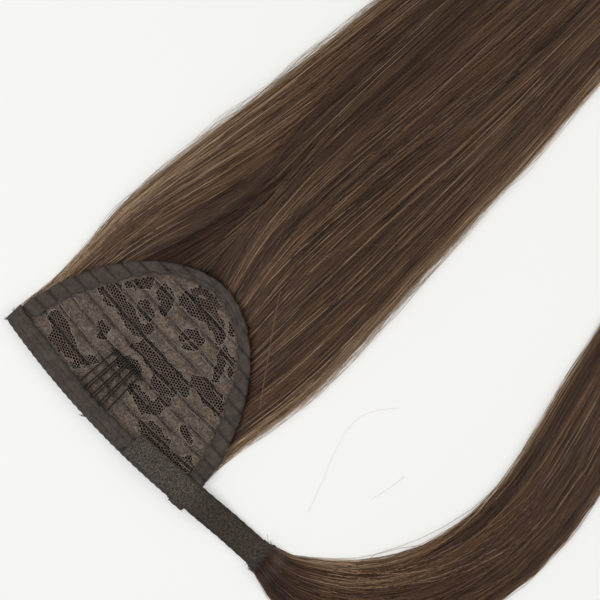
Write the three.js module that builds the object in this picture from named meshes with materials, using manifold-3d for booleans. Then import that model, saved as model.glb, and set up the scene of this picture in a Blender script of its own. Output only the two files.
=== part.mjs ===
// A wrap-around ponytail hairpiece, lying on a table with its hair down and the inside of its base up.
// The base is a D of stretch lace. A folded tape binds its straight edge and another its curved edge, and rows of
// machine-sewn hair wefts run under the lace and lift it into ribs. The hair of all the rows falls one way as the
// tail. A small wire comb is sewn on the inside. A hook-and-loop strap leaves one corner and ends in a stitched
// seam, which holds the lock of hair that is wound round the tail to hide its root.
//
// Millimetres. +X runs from the straight edge towards the tips of the tail, +Y across the base away from the
// strap, and +Z up from the table. The origin is on the table, under the middle of the straight edge.

import * as THREE from 'three';
import { mergeVertices } from 'three/addons/utils/BufferGeometryUtils.js';
import Module from 'manifold-3d';

// Cloth and clearances
const CLOTH = 1.0; // wall of the lace, tapes and seam
const GAP = 0.3; // clearance between neighbouring pieces

// Base
const BASE_WIDTH = 123; // along the straight edge
const BASE_DEPTH = 86.5; // from the straight edge to the crown of the curve
const OUTLINE_POWER = 1.85; // 2 is an ellipse, less is more pointed
const EDGE_BOW = 4; // how far the straight edge bows outwards
const BAND_WIDTH = 9.5; // tape folded over the straight edge
const TURNED_END = 8; // length of the band's end that is turned back at the strap's corner
const TURNED_STEP = 1.2; // how far the turned end stands out from the straight edge
const BINDING_WIDTH = 8.5; // tape folded over the curved edge
const CROWN_BINDING = 5.7; // its width round the crown, where it is folded narrower
const NARROW_START = 34; // from the crown
const NARROW_END = 11; // from the crown
const LACE_INSET = 2.2; // the lace's own edge, inside the tapes' folds
const FOLD_ROUND = 0.8; // how far the tapes round off at their folds
const CROWN_OPEN = 0.6; // share of the lace's width that stays clear of the binding close to the crown

// Hair wefts under the lace
const FIRST_WEFT = 13.5; // from the straight edge
const WEFT_PITCH = 6.9;
const WEFT_WIDTH = 2.6;
const WEFT_SETBACK = 1.2; // from the binding's inner edge to a weft's end
const RIB_RISE = 0.8; // how far a weft lifts the lace, and how far it sinks between two
const RIB_FADE = 6; // the width over which the ribs die out before the tapes

// Tail
const TAIL_LENGTH = 406; // from the straight edge to the longest tips
const TAIL_WIDTH = 129;
const TAIL_LOFT = 15;
const ROOT_SETBACK = 1; // the hair starts this far inside the straight edge
const SIDE_FALL = 0.6; // share of its loft that the tail loses at its sides
const SIDE_POWER = 3;
const LOCK_SWAY = 0.02; // side to side wander of the tail's locks, as a share of its half width
const SWAY_WAVES = 1.6; // waves of that wander along the tail
const SWAY_STEP = 0.37; // of a wave, from each lock to the next
const TIP_START = 0.8; // share of a lock's length at which it starts to narrow
const TIP_WIDTH = 0.4; // what is left of its width at its tip

// Strap and seam
const STRAP_WIDTH = 13.5;
const STRAP_THICKNESS = 1.6;
const STRAP_LAP = 39; // sewn along the band
const STRAP_FREE = 43; // past the corner of the base
const STRAP_SETBACK = 1; // from the band's outer edge to the strap's
const STRAP_SLANT = 6.3; // degrees that the free strap turns towards the tail
const STRAP_DROP = 0.55; // share of the free strap over which it comes down to the table
const SEAM_LENGTH = 7; // along the strap
const SEAM_OVERHANG = 1.8; // past each side of the strap

// Wrap lock
const WRAP_LENGTH = 298;
const WRAP_WIDTH = 43;
const WRAP_LOFT = 9;
const WRAP_SIDE_FALL = 0.5;

// Comb
const COMB_TEETH = 5;
const COMB_PITCH = 4.4; // at the spine
const COMB_FAN = 1.17; // the pitch at the tips over the pitch at the spine
const TOOTH_LENGTH = 23;
const TOOTH_WIDTH = 1.2; // between the middles of a tooth's two wires at its tip
const TOOTH_SLIT = 0.2; // between the two wires at the spine
const COMB_WIRE = 0.75; // diameter
const WRAP_WIRE = 0.5; // diameter of the wire wound round the spine
const WRAP_PITCH = 1.85;
const COMB_SPINE = 28; // from the straight edge
const COMB_ACROSS = 6.5; // from the middle of the base
const TIP_LIFT = 1.1; // how far the tips bend up from the lace

const HAIR_COLOUR = 0x46352a;
const LACE_COLOUR = 0x5c5149;
const TAPE_COLOUR = 0x4a423e;
const STRAP_COLOUR = 0x423c36;
const STEEL_COLOUR = 0x1c1a19;

// The tail from its root to its tips: its half width and its loft
const TAIL_SECTIONS = [
  { at: 0, width: 0.95, loft: 0.17 },
  { at: 0.08, width: 0.92, loft: 0.44 },
  { at: 0.14, width: 0.96, loft: 0.63 },
  { at: 0.2, width: 1, loft: 0.8 },
  { at: 0.3, width: 0.97, loft: 1 },
  { at: 0.4, width: 0.91, loft: 0.97 },
  { at: 0.5, width: 0.86, loft: 0.88 },
  { at: 0.6, width: 0.81, loft: 0.76 },
  { at: 0.7, width: 0.74, loft: 0.63 },
  { at: 0.8, width: 0.66, loft: 0.5 },
  { at: 0.9, width: 0.56, loft: 0.36 },
  { at: 1, width: 0.38, loft: 0.2 },
];

// The tail's locks, side by side: centre and half width as shares of the tail's half width, and reach as a share
// of its length
const TAIL_LOCKS = [
  { across: -0.84, spread: 0.16, reach: 0.95 },
  { across: -0.62, spread: 0.19, reach: 0.98 },
  { across: -0.38, spread: 0.19, reach: 0.97 },
  { across: -0.14, spread: 0.19, reach: 1 },
  { across: 0.08, spread: 0.18, reach: 0.985 },
  { across: 0.27, spread: 0.15, reach: 1 },
  { across: 0.47, spread: 0.16, reach: 0.965 },
  { across: 0.66, spread: 0.17, reach: 0.985 },
  { across: 0.85, spread: 0.15, reach: 0.95 },
];

// The wrap lock from the seam to its tips: its width, its loft and the way it heads, in degrees from +X
const WRAP_SECTIONS = [
  { at: 0, width: 0.36, loft: 0.42, heading: STRAP_SLANT - 90 },
  { at: 0.06, width: 0.66, loft: 0.55, heading: -69 },
  { at: 0.16, width: 0.92, loft: 0.8, heading: -49 },
  { at: 0.24, width: 0.97, loft: 0.92, heading: -29 },
  { at: 0.32, width: 1, loft: 1, heading: -14 },
  { at: 0.4, width: 1, loft: 1, heading: -4 },
  { at: 0.48, width: 0.99, loft: 0.98, heading: 6 },
  { at: 0.57, width: 0.97, loft: 0.92, heading: 15 },
  { at: 0.7, width: 0.93, loft: 0.8, heading: 19 },
  { at: 0.85, width: 0.72, loft: 0.58, heading: 23 },
  { at: 1, width: 0.3, loft: 0.28, heading: 26 },
];
const WRAP_LOCKS = [
  { across: -0.68, spread: 0.32, reach: 0.95 },
  { across: -0.24, spread: 0.32, reach: 1 },
  { across: 0.24, spread: 0.32, reach: 0.98 },
  { across: 0.68, spread: 0.32, reach: 0.94 },
];

// A lock seen end on, above its flat underside: across as a share of its half width, height as a share of its loft
const LOCK_SECTION = [
  { across: -1, height: 0.3, foot: -0.86 },
  { across: -0.62, height: 0.86, foot: -0.5 },
  { across: 0, height: 1, foot: 0 },
  { across: 0.62, height: 0.86, foot: 0.5 },
  { across: 1, height: 0.3, foot: 0.86 },
];

const { clamp, degToRad, euclideanModulo, lerp, smoothstep } = THREE.MathUtils;
const wasm = await Module();
wasm.setup();

const vector = (x, y, z) => new THREE.Vector3(x, y, z);

// Shares from 0 to 1 in as many equal steps.
const steps = (count) => Array.from({ length: count + 1 }, (_, i) => i / count);

// A smooth curve through one column of a table, read at a share from 0 to 1.
function profile(table, column) {
  const curve = new THREE.CubicInterpolant(
    table.map((row) => row.at),
    table.map((row) => row[column]),
    1,
  );
  return (share) => curve.evaluate(share)[0];
}

// Turns a mesh round if its faces point inwards.
function facingOut(positions, triangles) {
  const [a, b, c] = [vector(0, 0, 0), vector(0, 0, 0), vector(0, 0, 0)];
  let volume = 0;
  for (let i = 0; i < triangles.length; i += 3) {
    a.fromArray(positions, 3 * triangles[i]);
    b.fromArray(positions, 3 * triangles[i + 1]);
    c.fromArray(positions, 3 * triangles[i + 2]);
    volume += a.dot(b.cross(c));
  }
  const geometry = new THREE.BufferGeometry();
  geometry.setAttribute('position', new THREE.Float32BufferAttribute(positions, 3));
  geometry.setIndex(volume < 0 ? triangles.toReversed() : triangles);
  return geometry;
}

// A closed solid lofted through stations. A station is the wall seen end on: its outer face and its inner face,
// as two lists of as many points.
function wall(stations) {
  const across = stations[0].outer.length;
  const ring = 2 * across;
  const loops = stations.map(({ outer, inner }) => [...outer, ...inner.toReversed()]);
  const positions = loops.flat().flatMap((p) => p.toArray());
  const triangles = [];
  const quad = (a, b, c, d) => triangles.push(a, b, c, a, c, d);
  for (let s = 0; s < stations.length - 1; s++) {
    for (let i = 0; i < ring; i++) {
      const next = (i + 1) % ring;
      quad(s * ring + i, s * ring + next, (s + 1) * ring + next, (s + 1) * ring + i);
    }
  }
  const last = (stations.length - 1) * ring;
  for (let i = 0; i < across - 1; i++) {
    quad(ring - 1 - i, ring - 2 - i, i + 1, i);
    quad(last + i, last + i + 1, last + ring - 2 - i, last + ring - 1 - i);
  }
  return facingOut(positions, triangles);
}

// A closed round wire through a list of points. Its section keeps the same way up.
function wire(points, diameter, sides) {
  const positions = [];
  const triangles = [];
  points.forEach((p, s) => {
    const ahead = points[Math.min(s + 1, points.length - 1)];
    const behind = points[Math.max(s - 1, 0)];
    const along = ahead.clone().sub(behind).normalize();
    const side = vector(0, 0, 1).cross(along).normalize();
    const up = along.clone().cross(side);
    for (let k = 0; k < sides; k++) {
      const angle = (2 * Math.PI * k) / sides;
      const offset = side
        .clone()
        .multiplyScalar(Math.cos(angle))
        .addScaledVector(up, Math.sin(angle));
      positions.push(...p.clone().addScaledVector(offset, diameter / 2).toArray());
    }
  });
  for (let s = 0; s < points.length - 1; s++) {
    for (let k = 0; k < sides; k++) {
      const [a, b] = [s * sides + k, s * sides + ((k + 1) % sides)];
      triangles.push(a, b, b + sides, a, b + sides, a + sides);
    }
  }
  const last = (points.length - 1) * sides;
  for (let k = 1; k < sides - 1; k++) {
    triangles.push(0, k + 1, k, last, last + k, last + k + 1);
  }
  return facingOut(positions, triangles);
}

// Joins overlapping solids into one.
function fuse(geometries) {
  const solids = geometries.map((geometry) => {
    const merged = mergeVertices(geometry, 1e-3);
    return new wasm.Manifold(
      new wasm.Mesh({
        numProp: 3,
        vertProperties: merged.attributes.position.array,
        triVerts: new Uint32Array(merged.index.array),
      }),
    );
  });
  const { vertProperties, triVerts } = solids.reduce((a, b) => a.add(b)).getMesh();
  const geometry = new THREE.BufferGeometry();
  geometry.setAttribute('position', new THREE.BufferAttribute(vertProperties, 3));
  geometry.setIndex(new THREE.BufferAttribute(triVerts, 1));
  return geometry;
}

// The bed of hair that the base lies on
const HALF_BASE = BASE_WIDTH / 2;
const tailWidth = profile(TAIL_SECTIONS, 'width');
const tailLoft = profile(TAIL_SECTIONS, 'loft');

// How far the straight edge stands from x = 0 at y.
const edgeX = (y) => -EDGE_BOW * (1 - clamp(Math.abs(y) / HALF_BASE, 0, 1) ** 2);

const tailHalfWidth = (x) => (TAIL_WIDTH / 2) * tailWidth(clamp(x / TAIL_LENGTH, 0, 1));

// Height of the hair over the table. It is level under the band, so that the straight edge lies flat.
function hairTop(x, y) {
  const share = Math.max(0, x - BAND_WIDTH) / (TAIL_LENGTH - BAND_WIDTH);
  const side = clamp(Math.abs(y) / tailHalfWidth(x), 0, 1) ** SIDE_POWER;
  return TAIL_LOFT * tailLoft(share) * (1 - SIDE_FALL * side);
}

// The base's outline moved inwards: half its width at a distance x from the straight edge.
function halfWidthInside(x, inset) {
  const share = clamp(x / (BASE_DEPTH - inset), 0, 1);
  return (HALF_BASE - inset) * (1 - share ** OUTLINE_POWER) ** (1 / OUTLINE_POWER);
}

// The underside of the lace where it is flat, with room under it for a tape's lower flap.
const laceBed = (x, y) => hairTop(x, y) + GAP + CLOTH + GAP;

// The underside of the lace, lifted by each weft and sunk between two, except close to the tapes.
function laceUnder(x, y) {
  const inner = halfWidthInside(x, BINDING_WIDTH);
  const edgeRoom = Math.min(inner - Math.abs(y), x - FIRST_WEFT + WEFT_PITCH / 2);
  const fade = smoothstep(edgeRoom, 0, RIB_FADE);
  const offWeft = Math.abs(euclideanModulo(x - FIRST_WEFT + WEFT_PITCH / 2, WEFT_PITCH) - WEFT_PITCH / 2);
  const rib = lerp(RIB_RISE, -RIB_RISE, smoothstep(offWeft, WEFT_WIDTH / 2, WEFT_PITCH / 2));
  return laceBed(x, y) + rib * fade;
}

// Rows follow the bow of the straight edge and straighten towards the crown.
const rowX = (distance, y) => distance + edgeX(y) * (1 - clamp(distance / BASE_DEPTH, 0, 1));

// Base: lace, band, binding and wefts
const CROWN_EDGE = BASE_DEPTH - BINDING_WIDTH; // the binding's inner edge at the crown
const weftRows = Math.floor((CROWN_EDGE - FIRST_WEFT) / WEFT_PITCH);
const weftDistances = Array.from({ length: weftRows }, (_, k) => FIRST_WEFT + k * WEFT_PITCH);

function lacePanel() {
  const end = (BASE_DEPTH - LACE_INSET) * 0.995;
  const ribs = weftDistances.flatMap((d) => [
    d - WEFT_WIDTH / 2,
    d + WEFT_WIDTH / 2,
    d + WEFT_PITCH / 2,
  ]);
  const plain = [LACE_INSET, FIRST_WEFT - WEFT_PITCH / 2];
  const distances = [...plain, ...ribs.filter((d) => d < CROWN_EDGE - CLOTH), CROWN_EDGE, end];
  const stations = distances.map((distance) => {
    const half = halfWidthInside(distance, LACE_INSET);
    const open = Math.max(half - BINDING_WIDTH + LACE_INSET, half * CROWN_OPEN);
    const across = [-half, ...steps(10).map((share) => lerp(-open, open, share)), half];
    const places = across.map((y) => ({ x: rowX(distance, y), y, z: laceUnder(distance, y) }));
    return {
      outer: places.map(({ x, y, z }) => vector(x, y, z + CLOTH)),
      inner: places.map(({ x, y, z }) => vector(x, y, z)),
    };
  });
  return wall(stations);
}

// A tape folded over an edge, seen end on. It reaches in from the fold over and under the lace.
function foldedTape(width, placeAt) {
  const face = (thickness) => {
    const over = CLOTH + GAP + thickness;
    const under = -GAP - thickness;
    const fold = CLOTH - thickness;
    const points = [
      [width, over],
      [fold + FOLD_ROUND, over],
      [fold, CLOTH / 2],
      [fold + FOLD_ROUND, under],
      [width, under],
    ];
    return points.map(([inwards, height]) => placeAt(inwards, height));
  };
  return { outer: face(CLOTH), inner: face(0) };
}

// The band. Its end at the strap is turned back on itself, so that it stands out a little from the edge.
function topBand() {
  const turned = steps(2).map((share) => ({ y: -HALF_BASE + share * TURNED_END, out: TURNED_STEP }));
  const straight = steps(19).map((share) => ({
    y: lerp(-HALF_BASE + TURNED_END + GAP, HALF_BASE, share),
    out: 0,
  }));
  const stations = [...turned, ...straight].map(({ y, out }) =>
    foldedTape(BAND_WIDTH, (inwards, height) => {
      const folded = inwards < BAND_WIDTH ? out : 0;
      return vector(edgeX(y) + inwards - folded, y, laceBed(0, y) + height);
    }),
  );
  return wall(stations);
}

function edgeBinding() {
  const power = 2 / OUTLINE_POWER;
  const outline = (angle) => ({
    x: BASE_DEPTH * Math.cos(angle) ** power,
    y: HALF_BASE * Math.sign(angle) * Math.abs(Math.sin(angle)) ** power,
  });
  const start = Math.acos(((BAND_WIDTH + GAP) / BASE_DEPTH) ** (1 / power));
  const stations = steps(40).map((share) => {
    const angle = lerp(-start, start, share);
    const { x, y } = outline(angle);
    const [before, after] = [outline(angle - 0.01), outline(angle + 0.01)];
    const inward = vector(-(after.y - before.y), after.x - before.x, 0).normalize();
    const narrowed = smoothstep(x, BASE_DEPTH - NARROW_START, BASE_DEPTH - NARROW_END);
    return foldedTape(lerp(BINDING_WIDTH, CROWN_BINDING, narrowed), (inwards, height) => {
      const at = vector(x, y, 0).addScaledVector(inward, inwards);
      return at.setZ(laceBed(at.x, at.y) + height);
    });
  });
  return wall(stations);
}

function weftRow(distance) {
  const half = halfWidthInside(distance + WEFT_WIDTH / 2, BINDING_WIDTH + WEFT_SETBACK);
  const offsets = [-WEFT_WIDTH / 2, 0, WEFT_WIDTH / 2];
  const stations = steps(8).map((share) => {
    const y = lerp(-half, half, share);
    const at = (offset, z) => vector(rowX(distance + offset, y), y, z);
    return {
      outer: offsets.map((offset) => at(offset, laceUnder(distance + offset, y) - GAP)),
      inner: offsets.map((offset) => at(offset, hairTop(distance + offset, y) + GAP)),
    };
  });
  return wall(stations);
}

// What is left of a lock's width at a share of its length.
const tipTaper = (share) => lerp(1, TIP_WIDTH, smoothstep(share, TIP_START, 1));

// Tail
function tailLock({ across, spread, reach }, index) {
  const root = ROOT_SETBACK + edgeX(across * HALF_BASE);
  const tip = TAIL_LENGTH * reach;
  const underBase = steps(4).map((share) => lerp(BAND_WIDTH, BASE_DEPTH, share));
  const pastBase = steps(9).map((share) => lerp(BASE_DEPTH, tip, share));
  const stations = [root, ...underBase, ...pastBase.slice(1)].map((x) => {
    const half = tailHalfWidth(x);
    const past = Math.max(0, x - BASE_DEPTH) / TAIL_LENGTH;
    const sway = LOCK_SWAY * Math.sin(2 * Math.PI * (SWAY_WAVES * past + SWAY_STEP * index));
    const narrowed = spread * tipTaper(x / tip);
    const at = (part) => half * clamp(across + sway + part * narrowed, -1, 1);
    return {
      outer: LOCK_SECTION.map((p) =>
        vector(x, at(p.across), p.height * hairTop(x, at(p.across))),
      ),
      inner: LOCK_SECTION.map((p) => vector(x, at(p.foot), 0)),
    };
  });
  return wall(stations);
}

// Strap: the middle of its underside, from its sewn end to its free end
const BAND_OVER = CLOTH + GAP + CLOTH; // the band's top over the underside of the lace
const STRAP_LEVEL = CLOTH + GAP; // the strap's underside where it lies in the seam on the table
const SEAM_REACH = CLOTH + FOLD_ROUND + GAP; // how far the seam's fold stands past the strap's end
const slant = degToRad(STRAP_SLANT);
const strapHeading = vector(Math.sin(slant), -Math.cos(slant), 0);

function strapPlace(distance) {
  const lapped = Math.min(distance, STRAP_LAP);
  const free = distance - lapped;
  const y = -HALF_BASE + STRAP_LAP - lapped;
  const x = edgeX(y) + STRAP_SETBACK + STRAP_WIDTH / 2;
  const high = laceBed(0, y) + BAND_OVER + GAP;
  const drop = smoothstep(free / STRAP_FREE, 0, STRAP_DROP);
  return vector(x, y, lerp(high, STRAP_LEVEL, drop)).addScaledVector(strapHeading, free);
}

function strap() {
  const lapSteps = steps(6).map((share) => share * STRAP_LAP);
  const dropSteps = steps(6).map((share) => STRAP_LAP + share * STRAP_DROP * STRAP_FREE);
  const seamStart = STRAP_LAP + STRAP_FREE + SEAM_REACH - SEAM_LENGTH - GAP;
  const distances = [...lapSteps, ...dropSteps.slice(1), seamStart, STRAP_LAP + STRAP_FREE];
  const halves = [-STRAP_WIDTH / 2, STRAP_WIDTH / 2];
  const stations = distances.map((distance) => {
    const middle = strapPlace(distance);
    const turn = distance > STRAP_LAP ? slant : 0;
    const at = (half, lift) =>
      vector(
        middle.x + half * Math.cos(turn),
        middle.y + half * Math.sin(turn),
        middle.z + lift,
      );
    return {
      outer: halves.map((half) => at(half, STRAP_THICKNESS)),
      inner: halves.map((half) => at(half, 0)),
    };
  });
  return wall(stations);
}

// Seam: a tape folded over the strap's free end, with the fold towards the wrap lock
const strapEnd = strapPlace(STRAP_LAP + STRAP_FREE);
const strapSide = vector(Math.cos(slant), Math.sin(slant), 0);

function lockSeam() {
  const half = STRAP_WIDTH / 2 + SEAM_OVERHANG;
  const pocket = STRAP_THICKNESS + 2 * GAP;
  const stations = steps(6).map((share) => {
    const side = lerp(-half, half, share);
    const face = (thickness) => {
      const over = pocket + thickness;
      const fold = CLOTH - thickness;
      const points = [
        [SEAM_LENGTH, over],
        [fold + FOLD_ROUND, over],
        [fold, pocket / 2],
        [fold + FOLD_ROUND, -thickness],
        [SEAM_LENGTH, -thickness],
      ];
      return points.map(([inwards, height]) =>
        strapEnd
          .clone()
          .addScaledVector(strapHeading, SEAM_REACH - inwards)
          .addScaledVector(strapSide, side)
          .setZ(CLOTH + height),
      );
    };
    return { outer: face(CLOTH), inner: face(0) };
  });
  return wall(stations);
}

// Wrap lock: it heads away from the seam and bends round towards the tail's tips
const wrapWidth = profile(WRAP_SECTIONS, 'width');
const wrapLoft = profile(WRAP_SECTIONS, 'loft');
const wrapHeading = profile(WRAP_SECTIONS, 'heading');
const WRAP_STEPS = 60;

const wrapAxis = [strapEnd.clone().addScaledVector(strapHeading, SEAM_REACH + GAP).setZ(0)];
steps(WRAP_STEPS)
  .slice(1)
  .forEach((share) => {
    const heading = degToRad(wrapHeading(share - 0.5 / WRAP_STEPS));
    const step = vector(Math.cos(heading), Math.sin(heading), 0);
    wrapAxis.push(wrapAxis.at(-1).clone().addScaledVector(step, WRAP_LENGTH / WRAP_STEPS));
  });

function wrapPlace(share, offset) {
  const whole = clamp(Math.floor(share * WRAP_STEPS), 0, WRAP_STEPS - 1);
  const along = wrapAxis[whole].clone().lerp(wrapAxis[whole + 1], share * WRAP_STEPS - whole);
  const heading = degToRad(wrapHeading(share));
  return along.add(vector(-Math.sin(heading), Math.cos(heading), 0).multiplyScalar(offset));
}

function wrapLock({ across, spread, reach }) {
  const stations = steps(17).map((step) => {
    const share = step * reach;
    const half = (WRAP_WIDTH / 2) * wrapWidth(share);
    const place = (part, height) => {
      const shift = across + part * spread * tipTaper(step);
      const fall = 1 - WRAP_SIDE_FALL * Math.abs(shift) ** SIDE_POWER;
      return wrapPlace(share, half * shift).setZ(height * WRAP_LOFT * wrapLoft(share) * fall);
    };
    return {
      outer: LOCK_SECTION.map((p) => place(p.across, p.height)),
      inner: LOCK_SECTION.map((p) => place(p.foot, 0)),
    };
  });
  return wall(stations);
}

// Comb: one wire bent into hairpin teeth, with a thinner wire wound round its spine. The outer two teeth are the
// single ends of the wire.
const combBed = (x, y) => laceUnder(x, y) + CLOTH + GAP;
const spineHeight = combBed(COMB_SPINE, COMB_ACROSS) + RIB_RISE / 2 + COMB_WIRE / 2 + WRAP_WIRE;

function combWire() {
  const tip = COMB_SPINE - TOOTH_LENGTH;
  const low = combBed(tip, COMB_ACROSS) + COMB_WIRE / 2;
  const arch = COMB_WIRE + WRAP_WIRE;
  const place = (share, across) => {
    const sag = lerp(spineHeight, low, share) + RIB_RISE * Math.sin(Math.PI * share);
    return vector(
      lerp(COMB_SPINE, tip, share),
      COMB_ACROSS + across * lerp(1, COMB_FAN, share),
      sag + TIP_LIFT * share ** 3,
    );
  };
  const points = [];
  for (let tooth = 0; tooth < COMB_TEETH; tooth++) {
    const middle = (tooth - (COMB_TEETH - 1) / 2) * COMB_PITCH;
    const half = (share) => lerp(COMB_WIRE + TOOTH_SLIT, TOOTH_WIDTH, share) / 2;
    const straight = 1 - TOOTH_WIDTH / 2 / TOOTH_LENGTH;
    const bend = steps(4).map((share) => Math.PI * share);
    const out = [
      place(-arch / TOOTH_LENGTH, middle - half(0) - COMB_WIRE / 4),
      ...steps(3).map((share) => place(share * straight, middle - half(share))),
    ];
    const round = bend.slice(1, -1).map((angle) =>
      place(
        straight + (1 - straight) * Math.sin(angle),
        middle - (TOOTH_WIDTH / 2) * Math.cos(angle),
      ),
    );
    const back = [
      ...steps(3).map((share) => place((1 - share) * straight, middle + half(1 - share))),
      place(-arch / TOOTH_LENGTH, middle + half(0) + COMB_WIRE / 4),
    ];
    if (tooth === 0) points.push(...back);
    else if (tooth === COMB_TEETH - 1) points.push(...out);
    else points.push(...out, ...round, ...back);
  }
  return wire(points, COMB_WIRE, 5);
}

function combWrap() {
  const half = ((COMB_TEETH - 1) * COMB_PITCH + TOOTH_WIDTH) / 2 + COMB_WIRE;
  const turns = Math.round((2 * half) / WRAP_PITCH);
  const perTurn = 5;
  const radius = (COMB_WIRE + WRAP_WIRE) / 2 - 0.12;
  const points = steps(turns * perTurn).map((share) => {
    const angle = 2 * Math.PI * turns * share;
    return vector(
      COMB_SPINE + radius * Math.cos(angle),
      COMB_ACROSS + lerp(-half, half, share),
      spineHeight + radius * Math.sin(angle),
    );
  });
  return wire(points, WRAP_WIRE, 4);
}

function combSpine() {
  const half = ((COMB_TEETH - 1) * COMB_PITCH + TOOTH_WIDTH) / 2 + COMB_WIRE;
  const ends = [-half, half].map((y) => vector(COMB_SPINE, COMB_ACROSS + y, spineHeight));
  return wire(ends, COMB_WIRE, 6);
}

const cloth = (color) => new THREE.MeshStandardMaterial({ color, roughness: 0.9, metalness: 0 });
const hair = new THREE.MeshStandardMaterial({ color: HAIR_COLOUR, roughness: 0.45, metalness: 0 });
const steel = new THREE.MeshStandardMaterial({ color: STEEL_COLOUR, roughness: 0.35, metalness: 0.8 });

function piece(name, geometry, material) {
  const mesh = new THREE.Mesh(geometry, material);
  mesh.name = name;
  return mesh;
}

const base = new THREE.Group();
base.add(piece('lace_panel', lacePanel(), cloth(LACE_COLOUR)));
base.add(piece('top_band', topBand(), cloth(TAPE_COLOUR)));
base.add(piece('edge_binding', edgeBinding(), cloth(TAPE_COLOUR)));
weftDistances.forEach((distance, k) => {
  base.add(piece(`weft_row_${k + 1}`, weftRow(distance), hair));
});
base.add(piece('comb', fuse([combWire(), combSpine(), combWrap()]), steel));

const wrap = new THREE.Group();
wrap.add(piece('strap', strap(), cloth(STRAP_COLOUR)));
wrap.add(piece('lock_seam', lockSeam(), cloth(TAPE_COLOUR)));
wrap.add(piece('wrap_lock', fuse(WRAP_LOCKS.map(wrapLock)), hair));

const ponytail = new THREE.Group();
ponytail.add(base, wrap);
ponytail.add(piece('tail_hair', fuse(TAIL_LOCKS.map(tailLock)), hair));

export default ponytail;
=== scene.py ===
# Ponytail hairpiece, lying with its hair down and the inside of its base up.
import math

import bpy
import numpy as np
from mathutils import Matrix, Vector


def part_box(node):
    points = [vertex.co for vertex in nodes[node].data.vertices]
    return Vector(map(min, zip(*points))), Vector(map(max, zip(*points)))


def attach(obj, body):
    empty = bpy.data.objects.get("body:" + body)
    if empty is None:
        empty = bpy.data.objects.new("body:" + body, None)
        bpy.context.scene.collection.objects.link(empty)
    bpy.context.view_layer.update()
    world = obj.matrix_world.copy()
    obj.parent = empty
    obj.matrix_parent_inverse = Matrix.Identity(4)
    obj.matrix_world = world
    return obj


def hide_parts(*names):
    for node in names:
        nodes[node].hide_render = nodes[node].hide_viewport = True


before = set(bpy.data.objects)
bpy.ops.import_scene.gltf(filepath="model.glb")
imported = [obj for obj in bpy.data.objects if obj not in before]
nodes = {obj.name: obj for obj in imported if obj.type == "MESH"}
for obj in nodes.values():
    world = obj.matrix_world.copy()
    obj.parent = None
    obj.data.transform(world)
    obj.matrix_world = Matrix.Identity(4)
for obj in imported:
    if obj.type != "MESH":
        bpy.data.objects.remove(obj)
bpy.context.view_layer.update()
bpy.ops.object.select_all(action="DESELECT")

# Camera
# It looks straight down on the base and the first three quarters of the tail, as the photo does.
bpy.ops.object.camera_add(location=(0.1079, -0.0267, 0.800), rotation=(0, 0, math.radians(-42.85)))
camera = bpy.context.object
camera.name = "camera"
camera.data.sensor_width = 36
camera.data.lens = 101.1
camera.data.clip_start = 0.05
camera.data.clip_end = 10
bpy.context.scene.camera = camera

# Light and floor
# A white table in an evenly lit studio, with one larger light on the left that lets the hair shine.
# The table glows a little itself, so its shadows stay faint.
world = bpy.data.worlds.new("studio")
bpy.context.scene.world = world
world.use_nodes = True
world.node_tree.nodes["Background"].inputs["Color"].default_value = (1.0, 0.99, 0.97, 1)
world.node_tree.nodes["Background"].inputs["Strength"].default_value = 0.58
bpy.context.scene.view_settings.view_transform = "Standard"

for name, place, turn, size, power in [
    ("key_light", (-0.25, 0.35, 0.9), (-0.42, -0.34, 0.0), 0.6, 6.2),
    ("fill_light", (0.55, -0.55, 0.8), (0.52, 0.48, 0.0), 0.7, 4.2),
]:
    bpy.ops.object.light_add(type="AREA", location=place, rotation=turn)
    light = bpy.context.object
    light.name = name
    light.data.size = size
    light.data.energy = power


def new_material(name, roughness, gloss):
    """A new material, with its node tree and its shader."""
    material = bpy.data.materials.new(name)
    material.use_nodes = True
    shader = material.node_tree.nodes["Principled BSDF"]
    shader.inputs["Roughness"].default_value = roughness
    shader.inputs["Specular IOR Level"].default_value = gloss
    return material, material.node_tree, shader


bpy.ops.mesh.primitive_plane_add(size=6, location=(0.1, 0, -0.0002))
floor = bpy.context.object
floor.name = "table"
table_paint, _, shader = new_material("table_white", 0.8, 0.1)
shader.inputs["Base Color"].default_value = (0.45, 0.45, 0.44, 1)
shader.inputs["Emission Color"].default_value = (1.0, 1.0, 0.985, 1)
shader.inputs["Emission Strength"].default_value = 0.34
floor.data.materials.append(table_paint)
bpy.ops.object.select_all(action="DESELECT")

# Shape of the base and of the hair that it lies on
# The base is a half oval with a slightly bowed straight edge. The tail is flattened hair, full over its
# middle. Sizes are in millimetres, from the frame's own pieces.
MM = 0.001
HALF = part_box("top_band")[1].y / MM
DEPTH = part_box("edge_binding")[1].x / MM
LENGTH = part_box("tail_hair")[1].x / MM
POWER = 1.85  # how full the half oval is
HAIR_START = 9.5
HAIR_HALF = 64.5
HAIR_LOFT = 15
WIDTHS = ([0, .08, .14, .2, .3, .4, .5, .6, .7, .8, .9, 1],
          [.95, .92, .96, 1, .97, .91, .86, .81, .74, .66, .56, .38])
LOFTS = (WIDTHS[0], [.17, .44, .63, .8, 1, .97, .88, .76, .63, .5, .36, .2])


def smooth_curve(xs, ys, x):
    """A smooth curve through the points (xs, ys), read at x."""
    xs, ys = np.asarray(xs, float), np.asarray(ys, float)
    slope = np.gradient(ys, xs)
    i = np.clip(np.searchsorted(xs, x, side="right") - 1, 0, len(xs) - 2)
    step = xs[i + 1] - xs[i]
    t = np.clip((x - xs[i]) / step, 0, 1)
    a = (1 + 2 * t) * (1 - t) ** 2 * ys[i] + t * (1 - t) ** 2 * step * slope[i]
    return a + t * t * (3 - 2 * t) * ys[i + 1] + t * t * (t - 1) * step * slope[i + 1]


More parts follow.
